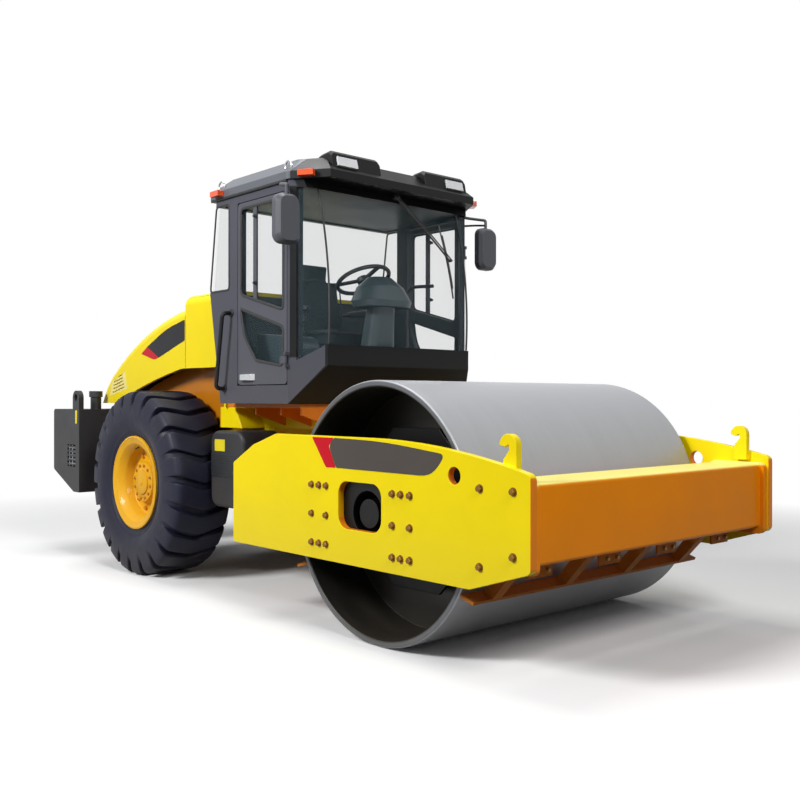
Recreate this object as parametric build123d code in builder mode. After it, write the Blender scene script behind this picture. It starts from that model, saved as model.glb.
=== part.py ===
"""Single-drum vibratory road roller, 14 t class, in millimetres.

X points forward, Y to the machine's left and Z up. The origin is on the
ground below the vertical steering pivot.
"""
import os
from math import atan2, cos, degrees, radians, sin

from build123d import *

os.makedirs("parts", exist_ok=True)

# Drum and wheels
DRUM_RADIUS = 761.5
DRUM_WIDTH = 2130
DRUM_WALL = 40
DRUM_GAP = 128.5
REAR_BEAM_X = 480
REAR_BEAM_DEPTH = 350
DRUM_AXIS_X = REAR_BEAM_X + REAR_BEAM_DEPTH + DRUM_GAP + DRUM_RADIUS
WHEELBASE = 3010
TYRE_RADIUS = 740
TYRE_WIDTH = 520
WHEEL_TRACK = 1660
RIM_FLANGE_RADIUS = 376
RIM_BARREL_RADIUS = 318
LUG_COUNT = 22
LUG_DEPTH = 38
LUG_GROOVE = 58
CHEVRON = 80
REAR_AXLE_X = DRUM_AXIS_X - WHEELBASE

# Clearances
PIN_GAP = 0.3
PANEL_GAP = 6
EAR_GAP = 5

# Front frame
PLATE_THICKNESS = 45
PLATE_GAP = 60
PLATE_INNER = DRUM_WIDTH / 2 + PLATE_GAP
PLATE_OUTER = PLATE_INNER + PLATE_THICKNESS
BEAM_ROOM = 478.5
PLATE_FRONT = DRUM_AXIS_X + DRUM_RADIUS + BEAM_ROOM
PLATE_REAR = 380
PLATE_BOTTOM = 462
PLATE_TOP = 1195
TIE_HOLE_RADIUS = 45
BEAM_FLANGE = 40

# Articulation
PIVOT_Z = 700
HUB_RADIUS = 125
STEER_PIN_RADIUS = 45
HUB_BOTTOM = 470
HUB_TOP = 930
EAR_THICKNESS = 50
TRUNNION_RADIUS = 110
LINK_FLANGE_X = 440

# Steering cylinders
EYE_X = 0
EYE_Y = 200
ANCHOR_X = REAR_AXLE_X / 2
ANCHOR_Y = 260
CLEVIS_GAP = 92
EYE_THICKNESS = 80
CYLINDER_PIN_RADIUS = 22
BARREL_RADIUS = 45
ROD_RADIUS = 26

# Rear frame
RAIL_INNER = 415
RAIL_OUTER = 445
RAIL_TOP = 1350
RAIL_REAR = REAR_AXLE_X - 1110
COUNTERWEIGHT_HALF = 1030
COUNTERWEIGHT_TOP = 1320
REAR_END = REAR_AXLE_X - 1670

# Hood
HOOD_HALF = 700
HOOD_WALL = 25
HOOD_FRONT = REAR_AXLE_X + 190
HOOD_TOP = 2165
HOOD_HEM = 1662
HOOD_TAIL = REAR_END + 270
BULKHEAD_TOP = 2260
BULKHEAD_FRONT = -520

# Cab
CAB_HALF = 850
CAB_WALL = 45
CAB_BOTTOM = 1380
CAB_TOP = 2900
CAB_FRONT = 771
CAB_FRONT_HALF = 680
CAB_PILLAR_X = 556
DOOR_REAR = -70
DOOR_FRONT = 540
DOOR_BOTTOM = 1515
DOOR_TOP = 2825
GLASS_INSET = 12
GLASS_THICKNESS = 10
ROOF_TOP = 3060

SIDES = {"right": -1, "left": 1}


def side_plane(y):
    """Upright plane at y, drawn as X and Z, that extrudes towards -Y."""
    return Plane.XZ.offset(-y)


def axle_plane(x, y, z):
    """Plane across a Y axis through x and z, that extrudes towards -Y."""
    return Plane(origin=(x, y, z), x_dir=(1, 0, 0), z_dir=(0, -1, 0))


def save(part, name):
    """Label a finished piece and write it."""
    part.label = name
    export_step(part, f"parts/{name}.step")


# Drum
WEB_Y = 670
WEB_THICKNESS = 30
BUFFER_LENGTH = 60
DRIVE_PLATE = 25
DRIVE_FACE = WEB_Y + BUFFER_LENGTH
HUB_FACE = DRIVE_FACE + DRIVE_PLATE + 85
DRUM_BORE = DRUM_RADIUS - DRUM_WALL
RIM_CHAMFER = 8

with BuildPart() as drum_shell:
    with BuildSketch(axle_plane(DRUM_AXIS_X, DRUM_WIDTH / 2, DRUM_RADIUS)):
        Circle(DRUM_RADIUS)
        Circle(DRUM_BORE, mode=Mode.SUBTRACT)
    extrude(amount=DRUM_WIDTH)
    with BuildSketch(
        axle_plane(DRUM_AXIS_X, WEB_Y, DRUM_RADIUS),
        axle_plane(DRUM_AXIS_X, WEB_THICKNESS - WEB_Y, DRUM_RADIUS),
    ):
        Circle(DRUM_BORE + 5)
    extrude(amount=WEB_THICKNESS)
    rims = drum_shell.edges().filter_by(GeomType.CIRCLE)
    rims = rims.filter_by(lambda e: abs(e.center().Y) > DRUM_WIDTH / 2 - 1)
    chamfer(rims, RIM_CHAMFER)
save(drum_shell.part, "drum_shell")

with BuildPart() as drum_plates:
    with BuildSketch(axle_plane(DRUM_AXIS_X, DRIVE_FACE + DRIVE_PLATE, DRUM_RADIUS)):
        RegularPolygon(520, 8, rotation=22.5)
    extrude(amount=DRIVE_PLATE)
    with BuildSketch(axle_plane(DRUM_AXIS_X, HUB_FACE, DRUM_RADIUS)):
        Circle(150)
    extrude(amount=HUB_FACE - DRIVE_FACE)
    with BuildSketch(axle_plane(DRUM_AXIS_X, HUB_FACE, DRUM_RADIUS)):
        Circle(60)
    extrude(amount=HUB_FACE - DRIVE_FACE, mode=Mode.SUBTRACT)
    mirror(about=Plane.XZ)
save(drum_plates.part, "drum_plates")

with BuildPart() as drum_buffers:
    with BuildSketch(axle_plane(DRUM_AXIS_X, DRIVE_FACE, DRUM_RADIUS)):
        with PolarLocations(390, 8):
            Circle(75)
    extrude(amount=BUFFER_LENGTH)
    mirror(about=Plane.XZ)
save(drum_buffers.part, "drum_buffers")

CARRIER_PLATE = 35
CARRIER_FACE = PLATE_INNER - CARRIER_PLATE
CARRIER_END = HUB_FACE + 40

with BuildPart() as drum_carriers:
    with BuildSketch(axle_plane(DRUM_AXIS_X, PLATE_INNER, DRUM_RADIUS)):
        with Locations((-20, 30)):
            RectangleRounded(860, 470, 60)
    extrude(amount=CARRIER_PLATE)
    with BuildSketch(axle_plane(DRUM_AXIS_X, CARRIER_FACE, DRUM_RADIUS)):
        Circle(230)
    with BuildSketch(axle_plane(DRUM_AXIS_X, CARRIER_END, DRUM_RADIUS)):
        Circle(170)
    loft()
    with BuildSketch(axle_plane(DRUM_AXIS_X, CARRIER_END, DRUM_RADIUS)):
        Circle(60 - PIN_GAP)
    extrude(amount=CARRIER_END - DRIVE_FACE)
    with BuildSketch(axle_plane(DRUM_AXIS_X, PLATE_INNER, DRUM_RADIUS)):
        Circle(130)
    extrude(amount=PLATE_INNER - CARRIER_END - 60, mode=Mode.SUBTRACT)
    with BuildSketch(axle_plane(DRUM_AXIS_X, PLATE_INNER - 10, DRUM_RADIUS)):
        Circle(85)
    extrude(amount=PLATE_INNER - CARRIER_END - 40)
    mirror(about=Plane.XZ)
save(drum_carriers.part, "drum_carriers")

# Front frame
WINDOW_X = DRUM_AXIS_X - 23
WINDOW_Z = 803
TIE_HOLE_X = PLATE_FRONT - 507
TIE_HOLE_Z = 1024

with BuildPart() as side_plates:
    with BuildSketch(side_plane(PLATE_OUTER)) as plate_sketch:
        with BuildLine():
            top = Line((PLATE_REAR + 490, PLATE_TOP), (DRUM_AXIS_X + 60, PLATE_TOP))
            nose = TangentArc(top @ 1, (PLATE_FRONT, 1056), tangent=top % 1)
            Polyline(
                nose @ 1,
                (PLATE_FRONT, 590),
                (PLATE_FRONT - 400, PLATE_BOTTOM),
                (PLATE_REAR, PLATE_BOTTOM),
                (PLATE_REAR, 991),
                (PLATE_REAR + 237, 1117),
                top @ 0,
            )
        make_face()
        fillet(plate_sketch.vertices().sort_by(Axis.X)[-3:], 40)
        fillet(plate_sketch.vertices().sort_by(Axis.X)[:2], 25)
        with Locations((WINDOW_X, WINDOW_Z)):
            RectangleRounded(382, 273, 78, mode=Mode.SUBTRACT)
        with Locations((TIE_HOLE_X, TIE_HOLE_Z)):
            Circle(TIE_HOLE_RADIUS, mode=Mode.SUBTRACT)
    extrude(amount=PLATE_THICKNESS)
    with BuildSketch(side_plane(PLATE_INNER)):
        with BuildLine():
            shank = Line((PLATE_FRONT - 130, 1030), (PLATE_FRONT - 130, 1190))
            curl = ThreePointArc(
                shank @ 1, (PLATE_FRONT - 185, 1245), (PLATE_FRONT - 240, 1190)
            )
            Polyline(
                curl @ 1,
                (PLATE_FRONT - 205, 1180),
                (PLATE_FRONT - 180, 1195),
                (PLATE_FRONT - 175, 1170),
                (PLATE_FRONT - 215, 1120),
                (PLATE_FRONT - 215, 1030),
                shank @ 0,
            )
        make_face()
    extrude(amount=40)
    mirror(about=Plane.XZ)
save(side_plates.part, "side_plates")

BEAM_FRONT = PLATE_FRONT - 43
BEAM_BACK = BEAM_FRONT - 330
BEAM_BOTTOM = 608
BEAM_TOP = 1007
BEAM_HALF = PLATE_INNER - BEAM_FLANGE

with BuildPart() as front_beam:
    with BuildSketch(side_plane(BEAM_HALF)) as beam_sketch:
        with Locations(((BEAM_FRONT + BEAM_BACK) / 2, (BEAM_BOTTOM + BEAM_TOP) / 2)):
            RectangleRounded(BEAM_FRONT - BEAM_BACK, BEAM_TOP - BEAM_BOTTOM, 22)
    extrude(amount=2 * BEAM_HALF)
    with BuildSketch(side_plane(PLATE_INNER), side_plane(BEAM_FLANGE - PLATE_INNER)):
        with Locations(((BEAM_FRONT + BEAM_BACK) / 2 + 5, (BEAM_BOTTOM + BEAM_TOP) / 2 - 15)):
            RectangleRounded(BEAM_FRONT - BEAM_BACK + 50, BEAM_TOP - BEAM_BOTTOM + 50, 40)
    extrude(amount=BEAM_FLANGE)
save(front_beam.part, "front_beam")

BORE_DEPTH = 160

with BuildPart() as rear_beam:
    with BuildSketch(side_plane(PLATE_INNER)):
        with BuildLine():
            Polyline(
                (REAR_BEAM_X, 520),
                (REAR_BEAM_X, 960),
                (REAR_BEAM_X + 60, 1000),
                (REAR_BEAM_X + REAR_BEAM_DEPTH, 1000),
                (REAR_BEAM_X + REAR_BEAM_DEPTH, 560),
                (REAR_BEAM_X + REAR_BEAM_DEPTH - 60, 490),
                (REAR_BEAM_X + 60, 490),
                close=True,
            )
        make_face()
    extrude(amount=2 * PLATE_INNER)
    with BuildSketch(Plane.YZ.offset(REAR_BEAM_X)):
        with Locations((0, PIVOT_Z)):
            Circle(TRUNNION_RADIUS + PIN_GAP)
    extrude(amount=BORE_DEPTH, mode=Mode.SUBTRACT)
save(rear_beam.part, "rear_beam")

# Scrapers
SCRAPER_GAP = 6
SCRAPER_HALF = DRUM_WIDTH / 2 - 5
SCRAPER_THICKNESS = 16


def drum_point(angle, radius):
    """Point at an angle from straight forward, up from the drum's axis."""
    x = DRUM_AXIS_X + radius * cos(radians(angle))
    z = DRUM_RADIUS + radius * sin(radians(angle))
    return (x, z)


BLADE_ANGLE = -29.5
BLADE_LENGTH = 95
ARM_YS = (-886, -282, 282, 886)

with BuildPart() as scrapers:
    with BuildSketch(side_plane(SCRAPER_HALF)):
        inner = DRUM_RADIUS + SCRAPER_GAP
        with BuildLine():
            Polyline(
                drum_point(BLADE_ANGLE, inner),
                drum_point(BLADE_ANGLE + 1.3, inner + BLADE_LENGTH),
                drum_point(BLADE_ANGLE + 2.5, inner + BLADE_LENGTH),
                drum_point(BLADE_ANGLE + 1.3, inner),
                close=True,
            )
        make_face()
        with BuildLine():
            Polyline(
                drum_point(180 - BLADE_ANGLE, inner),
                drum_point(178.7 - BLADE_ANGLE, inner + BLADE_LENGTH),
                drum_point(177.5 - BLADE_ANGLE, inner + BLADE_LENGTH),
                drum_point(178.7 - BLADE_ANGLE, inner),
                close=True,
            )
        make_face()
    extrude(amount=2 * SCRAPER_HALF)
    with BuildSketch(*[side_plane(y + 35) for y in ARM_YS]):
        with BuildLine():
            Polyline(
                drum_point(BLADE_ANGLE + 2, inner + 30),
                drum_point(BLADE_ANGLE + 1.9, inner + BLADE_LENGTH),
                (BEAM_BACK + 120, BEAM_BOTTOM),
                (BEAM_BACK + 20, BEAM_BOTTOM),
                close=True,
            )
        make_face()
    extrude(amount=70)
    with BuildSketch(*[side_plane(y + 35) for y in ARM_YS]):
        with BuildLine():
            Polyline(
                drum_point(178 - BLADE_ANGLE, inner + 30),
                drum_point(178.1 - BLADE_ANGLE, inner + BLADE_LENGTH),
                (REAR_BEAM_X + REAR_BEAM_DEPTH - 160, 490),
                (REAR_BEAM_X + REAR_BEAM_DEPTH - 65, 490),
                close=True,
            )
        make_face()
    extrude(amount=70)
save(scrapers.part, "scrapers")

# Centre link
CLEVIS_PLATE = 25

with BuildPart() as centre_link:
    with BuildSketch(Plane.XY.offset(HUB_BOTTOM)):
        Circle(HUB_RADIUS)
    extrude(amount=HUB_TOP - HUB_BOTTOM)
    with BuildSketch(Plane.YZ):
        with Locations((0, PIVOT_Z)):
            Circle(TRUNNION_RADIUS)
    extrude(amount=REAR_BEAM_X + BORE_DEPTH - 5)
    with BuildSketch(Plane.YZ.offset(LINK_FLANGE_X)):
        with Locations((0, PIVOT_Z)):
            Circle(185)
    extrude(amount=REAR_BEAM_X - EAR_GAP - LINK_FLANGE_X)
    with BuildSketch(
        Plane.XY.offset(PIVOT_Z + CLEVIS_GAP / 2),
        Plane.XY.offset(PIVOT_Z - CLEVIS_GAP / 2 - CLEVIS_PLATE),
    ):
        with Locations((EYE_X, EYE_Y), (EYE_X, -EYE_Y)):
            Circle(60)
        Rectangle(120, 2 * EYE_Y)
    extrude(amount=CLEVIS_PLATE)
    with BuildSketch(Plane.XY.offset(HUB_BOTTOM)):
        Circle(STEER_PIN_RADIUS + PIN_GAP)
    extrude(amount=HUB_TOP - HUB_BOTTOM, mode=Mode.SUBTRACT)
save(centre_link.part, "centre_link")

# Steering cylinders
CYLINDER_REACH = ((EYE_X - ANCHOR_X) ** 2 + (EYE_Y - ANCHOR_Y) ** 2) ** 0.5
CYLINDER_SWING = atan2(EYE_Y - ANCHOR_Y, EYE_X - ANCHOR_X)
BARREL_LENGTH = CYLINDER_REACH * 2 / 3

for side_name, side in SIDES.items():
    along = (cos(CYLINDER_SWING), side * sin(CYLINDER_SWING), 0)
    cylinder_plane = Plane(origin=(ANCHOR_X, side * ANCHOR_Y, PIVOT_Z), x_dir=(0, 0, 1), z_dir=along)
    pin_plane = Plane(origin=(ANCHOR_X, side * ANCHOR_Y, PIVOT_Z))
    eye_plane = Plane(origin=(EYE_X, side * EYE_Y, PIVOT_Z))

    with BuildPart() as steering_barrel:
        with BuildSketch(pin_plane.offset(-EYE_THICKNESS / 2)):
            Circle(CYLINDER_PIN_RADIUS + 22)
        extrude(amount=EYE_THICKNESS)
        with BuildSketch(cylinder_plane.offset(30)):
            Circle(BARREL_RADIUS)
        extrude(amount=BARREL_LENGTH - 30)
        with BuildSketch(cylinder_plane.offset(BARREL_LENGTH)):
            Circle(ROD_RADIUS + PIN_GAP)
        extrude(amount=-(BARREL_LENGTH - 60), mode=Mode.SUBTRACT)
        with BuildSketch(pin_plane.offset(-EYE_THICKNESS / 2)):
            Circle(CYLINDER_PIN_RADIUS + PIN_GAP)
        extrude(amount=EYE_THICKNESS, mode=Mode.SUBTRACT)
    save(steering_barrel.part, f"steering_barrel_{side_name}")

    with BuildPart() as steering_rod:
        with BuildSketch(eye_plane.offset(-EYE_THICKNESS / 2)):
            Circle(CYLINDER_PIN_RADIUS + 22)
        extrude(amount=EYE_THICKNESS)
        with BuildSketch(cylinder_plane.offset(CYLINDER_REACH - 30)):
            Circle(ROD_RADIUS)
        extrude(amount=-(CYLINDER_REACH * 2 / 3))
    save(steering_rod.part, f"steering_rod_{side_name}")

# Rear frame
YOKE_X = ANCHOR_X / 2
YOKE_PLATE = 30
EAR_TOP = HUB_TOP + EAR_GAP
EAR_BOTTOM = HUB_BOTTOM - EAR_GAP - EAR_THICKNESS
SHELF_PLATE = 22
SHELF_LEVELS = (PIVOT_Z + CLEVIS_GAP / 2 + 4, PIVOT_Z - CLEVIS_GAP / 2 - 4 - SHELF_PLATE)

with BuildPart() as frame_yoke:
    with BuildSketch(Plane.XY.offset(EAR_TOP), Plane.XY.offset(EAR_BOTTOM)):
        with BuildLine():
            nose = ThreePointArc((0, -130), (130, 0), (0, 130))
            Polyline(
                nose @ 1, (-40, 130), (YOKE_X, 350), (YOKE_X, -350), (-40, -130), nose @ 0
            )
        make_face()
    extrude(amount=EAR_THICKNESS)
    with BuildSketch(Plane.YZ.offset(YOKE_X - YOKE_PLATE)):
        with Locations((0, (EAR_BOTTOM + 1195) / 2)):
            Rectangle(2 * RAIL_INNER, 1195 - EAR_BOTTOM)
        with Locations((ANCHOR_Y - 30, PIVOT_Z), (30 - ANCHOR_Y, PIVOT_Z)):
            RectangleRounded(190, 2 * BARREL_RADIUS + 4, 30, mode=Mode.SUBTRACT)
    extrude(amount=YOKE_PLATE)
    with BuildSketch(*[Plane.XY.offset(level) for level in SHELF_LEVELS]):
        with Locations(
            ((YOKE_X - YOKE_PLATE + ANCHOR_X - 60) / 2, (RAIL_INNER + 170) / 2),
            ((YOKE_X - YOKE_PLATE + ANCHOR_X - 60) / 2, -(RAIL_INNER + 170) / 2),
        ):
            Rectangle(YOKE_X - YOKE_PLATE - ANCHOR_X + 60, RAIL_INNER - 170)
    extrude(amount=SHELF_PLATE)
    with BuildSketch(Plane.XY.offset(SHELF_LEVELS[1])):
        with Locations((ANCHOR_X, ANCHOR_Y), (ANCHOR_X, -ANCHOR_Y)):
            Circle(CYLINDER_PIN_RADIUS)
    extrude(amount=SHELF_LEVELS[0] + SHELF_PLATE - SHELF_LEVELS[1])
    with BuildSketch(Plane.XY.offset(EAR_TOP + EAR_THICKNESS + 15)):
        Circle(STEER_PIN_RADIUS)
    extrude(amount=-(EAR_THICKNESS + 150))
    with BuildSketch(Plane.XY.offset(EAR_BOTTOM - 15)):
        Circle(STEER_PIN_RADIUS)
    extrude(amount=EAR_THICKNESS + 150)
save(frame_yoke.part, "frame_yoke")

BAY_HALF = 540
BAY_TOP = HOOD_HEM + 38
BAY_REAR = RAIL_REAR + 100
BAY_FRONT = HOOD_FRONT + (BULKHEAD_FRONT - HOOD_FRONT) * 0.76
AXLE_PAD_TOP = 880

with BuildPart() as frame_rails:
    with BuildSketch(side_plane(RAIL_OUTER)):
        with BuildLine():
            Polyline(
                (520, 1230),
                (520, RAIL_TOP),
                (RAIL_REAR, RAIL_TOP - 50),
                (RAIL_REAR, AXLE_PAD_TOP),
                (ANCHOR_X - 120, AXLE_PAD_TOP),
                (ANCHOR_X - 50, EAR_BOTTOM + 160),
                (ANCHOR_X + 120, EAR_BOTTOM),
                (YOKE_X - YOKE_PLATE, EAR_BOTTOM),
                (YOKE_X + 130, 1195),
                (300, 1195),
                close=True,
            )
        make_face()
    extrude(amount=RAIL_OUTER - RAIL_INNER)
    with BuildSketch(side_plane(650)):
        with BuildLine():
            Polyline(
                (ANCHOR_X, RAIL_TOP), (ANCHOR_X, 1190), (YOKE_X, 1190), (YOKE_X - 100, RAIL_TOP), close=True
            )
        make_face()
    extrude(amount=650 - RAIL_OUTER)
    with BuildSketch(side_plane(BAY_HALF)):
        with BuildLine():
            bay = ThreePointArc(
                (BAY_REAR, 1400), (REAR_AXLE_X - 507, BAY_TOP - 130), (HOOD_FRONT - 60, BAY_TOP)
            )
            Polyline(bay @ 1, (BAY_FRONT, BAY_TOP), (BAY_FRONT, 1230), (BAY_REAR, 1230), bay @ 0)
        make_face()
    extrude(amount=20)
    with BuildSketch(side_plane(BAY_HALF - 20)):
        with Locations(((BAY_FRONT + BAY_REAR) / 2, 1245)):
            Rectangle(BAY_FRONT - BAY_REAR, 30)
    extrude(amount=BAY_HALF - 20 - RAIL_OUTER)
    mirror(about=Plane.XZ)
save(frame_rails.part, "frame_rails")

with BuildPart() as cab_support:
    with BuildSketch(Plane.XY.offset(RAIL_TOP)):
        with Locations((50, 0)):
            Rectangle(940, 1440)
    extrude(amount=CAB_BOTTOM - RAIL_TOP)
    for rib_x in (500, 260, -60):
        with BuildSketch(Plane.YZ.offset(rib_x)):
            with BuildLine():
                Polyline(
                    (RAIL_OUTER, 1215),
                    (RAIL_OUTER, RAIL_TOP),
                    (710, RAIL_TOP),
                    (710, RAIL_TOP - 50),
                    close=True,
                )
            make_face()
        extrude(amount=20)
    mirror(about=Plane.XZ)
save(cab_support.part, "cab_support")

STEP_X = RAIL_REAR - 165
STEP_Z = 900
STEP_LENGTH = 170
STEP_HEIGHT = 200
STEP_DEPTH = 30
STEP_RIBS = 5

with BuildPart() as counterweight:
    with BuildSketch(side_plane(COUNTERWEIGHT_HALF)) as weight_sketch:
        with BuildLine():
            Polyline(
                (RAIL_REAR, 575),
                (RAIL_REAR, COUNTERWEIGHT_TOP),
                (REAR_END, COUNTERWEIGHT_TOP),
                (REAR_END, 760),
                (REAR_END + 440, 575),
                close=True,
            )
        make_face()
        fillet(weight_sketch.vertices().sort_by(Axis.X)[:2], 30)
    extrude(amount=2 * COUNTERWEIGHT_HALF)
    with BuildSketch(side_plane(COUNTERWEIGHT_HALF), side_plane(45 - COUNTERWEIGHT_HALF)):
        with Locations((RAIL_REAR - 70, COUNTERWEIGHT_TOP + 100)):
            Circle(68)
        with Locations((RAIL_REAR - 70, COUNTERWEIGHT_TOP + 50)):
            Rectangle(136, 100)
        with Locations((RAIL_REAR - 70, COUNTERWEIGHT_TOP + 105)):
            Circle(32, mode=Mode.SUBTRACT)
    extrude(amount=45)
    with Locations((REAR_END + 20, 880, 1230), (REAR_END + 20, -880, 1230)):
        Box(40, 180, 90, mode=Mode.SUBTRACT)
    for side in SIDES.values():
        with Locations((STEP_X, side * (COUNTERWEIGHT_HALF - STEP_DEPTH / 2), STEP_Z)):
            Box(STEP_LENGTH, STEP_DEPTH, STEP_HEIGHT, mode=Mode.SUBTRACT)
        for rib in range(STEP_RIBS):
            rib_z = STEP_Z + (rib - (STEP_RIBS - 1) / 2) * STEP_HEIGHT / STEP_RIBS
            with Locations((STEP_X, side * (COUNTERWEIGHT_HALF - STEP_DEPTH / 2), rib_z)):
                Box(STEP_LENGTH, STEP_DEPTH, 12)
save(counterweight.part, "counterweight")

FILLER_X = RAIL_REAR - 160
FILLER_Y = -800

with BuildPart() as fuel_filler:
    with BuildSketch(Plane.XY.offset(COUNTERWEIGHT_TOP)):
        with Locations((FILLER_X, FILLER_Y)):
            Circle(48)
    extrude(amount=110)
    with BuildSketch(Plane.XY.offset(COUNTERWEIGHT_TOP + 110)):
        with Locations((FILLER_X, FILLER_Y)):
            Circle(60)
    extrude(amount=55)
save(fuel_filler.part, "fuel_filler")

TANK_REAR = REAR_AXLE_X + TYRE_RADIUS + 40
TANK_FRONT = TANK_REAR + 450
TANK_OUTER = 815
TANK_TOP = 1175
TANK_BOTTOM = 600
TANK_CORNER = 90
TANK_EDGE = 28

with BuildPart() as step_tanks:
    with BuildSketch(side_plane(TANK_OUTER)):
        with Locations(((TANK_FRONT + TANK_REAR) / 2, (TANK_TOP + TANK_BOTTOM) / 2)):
            RectangleRounded(TANK_FRONT - TANK_REAR, TANK_TOP - TANK_BOTTOM, TANK_CORNER)
    extrude(amount=TANK_OUTER - RAIL_OUTER - 40)
    fillet(step_tanks.faces().sort_by(Axis.Y)[-1].edges(), TANK_EDGE)
    with Locations((TANK_REAR + 140, RAIL_OUTER + 20, 800), (TANK_REAR + 140, RAIL_OUTER + 20, 1000)):
        Box(100, 40, 120)
    mirror(about=Plane.XZ)
save(step_tanks.part, "step_tanks")

ENGINE_LENGTH = 1000

with BuildPart() as engine:
    with Locations((HOOD_FRONT - 150 - ENGINE_LENGTH / 2, 0, 1300)):
        Box(ENGINE_LENGTH, 700, 680)
    with Locations((HOOD_FRONT, 0, 1165)):
        Cylinder(200, 320, rotation=(0, 90, 0))
    with Locations((HOOD_FRONT - 750, 0, 1150)):
        Box(300, 2 * RAIL_INNER, 120)
save(engine.part, "engine")

HUB_OUTER = WHEEL_TRACK / 2 - 25

with BuildPart() as rear_axle:
    with BuildSketch(axle_plane(REAR_AXLE_X, HUB_OUTER, TYRE_RADIUS)):
        Circle(100)
    extrude(amount=2 * HUB_OUTER)
    with BuildSketch(axle_plane(REAR_AXLE_X, 150, TYRE_RADIUS)):
        Circle(200)
    extrude(amount=300)
    with BuildSketch(Plane.XY.offset(TYRE_RADIUS)):
        with Locations((REAR_AXLE_X, 430), (REAR_AXLE_X, -430)):
            Rectangle(190, 110)
    extrude(amount=AXLE_PAD_TOP - TYRE_RADIUS)
    with BuildSketch(axle_plane(REAR_AXLE_X, 560, TYRE_RADIUS)):
        Circle(190)
    extrude(amount=60)
    with BuildSketch(axle_plane(REAR_AXLE_X, -500, TYRE_RADIUS)):
        Circle(190)
    extrude(amount=60)
save(rear_axle.part, "rear_axle")

# Rear wheels
WHEEL_Y = WHEEL_TRACK / 2
RIM_HALF = 225
DISC_Y = WHEEL_Y + 20
TYRE_INNER = RIM_BARREL_RADIUS + PIN_GAP
TYRE_HALF = TYRE_WIDTH / 2
TYRE_SIDES = 2 * LUG_COUNT


def tyre_section(drop):
    """Half section of the tyre, both sides, with its tread lowered by a drop."""
    crown = TYRE_RADIUS - drop
    half = [
        (TYRE_HALF - 60, crown),
        (TYRE_HALF - 14 - drop / 2, crown - 45),
        (TYRE_HALF - 4, TYRE_RADIUS - 130),
        (TYRE_HALF, TYRE_RADIUS - 235),
    ]
    return [(-y, radius) for y, radius in reversed(half)] + half


def tyre_rings(section):
    """Flat-sided rings between neighbouring points of a section."""
    for (near, near_radius), (far, far_radius) in zip(section, section[1:]):
        with BuildSketch(axle_plane(0, near, 0)) as near_ring:
            RegularPolygon(near_radius, TYRE_SIDES)
        with BuildSketch(axle_plane(0, far, 0)) as far_ring:
            RegularPolygon(far_radius, TYRE_SIDES)
        loft([near_ring.sketch.face(), far_ring.sketch.face()], ruled=True)


with BuildPart() as tyre_carcass:
    tyre_rings(tyre_section(LUG_DEPTH))

with BuildPart() as lug_gap:
    with BuildSketch(Plane.XY.offset(TYRE_RADIUS - 140)):
        with BuildLine():
            Polyline(
                (-CHEVRON - LUG_GROOVE / 2, -TYRE_HALF - 20),
                (LUG_GROOVE / 2 - CHEVRON, -TYRE_HALF - 20),
                (LUG_GROOVE / 2, 0),
                (LUG_GROOVE / 2 - CHEVRON, TYRE_HALF + 20),
                (-CHEVRON - LUG_GROOVE / 2, TYRE_HALF + 20),
                (-LUG_GROOVE / 2, 0),
                close=True,
            )
        make_face()
    extrude(amount=200)
    add(tyre_carcass.part, mode=Mode.SUBTRACT)
lug_cut = lug_gap.part.solids().sort_by(SortBy.VOLUME)[-1]

with BuildPart() as tyre_form:
    tyre_rings(tyre_section(0))
    with BuildSketch(axle_plane(0, TYRE_HALF, 0)):
        RegularPolygon(TYRE_INNER, TYRE_SIDES, major_radius=False)
    extrude(amount=TYRE_WIDTH, mode=Mode.SUBTRACT)
    for end in SIDES.values():
        with BuildSketch(axle_plane(0, end * (RIM_HALF - 15), 0)) as bead_ring:
            RegularPolygon(RIM_FLANGE_RADIUS + 14, TYRE_SIDES)
        with BuildSketch(axle_plane(0, end * TYRE_HALF, 0)) as wall_ring:
            RegularPolygon(TYRE_RADIUS - 245, TYRE_SIDES)
        loft([bead_ring.sketch.face(), wall_ring.sketch.face()], ruled=True, mode=Mode.SUBTRACT)
    add(
        [lug_cut.rotate(Axis.Y, 360 / LUG_COUNT * (lug + 0.5)) for lug in range(LUG_COUNT)],
        mode=Mode.SUBTRACT,
    )

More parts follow.
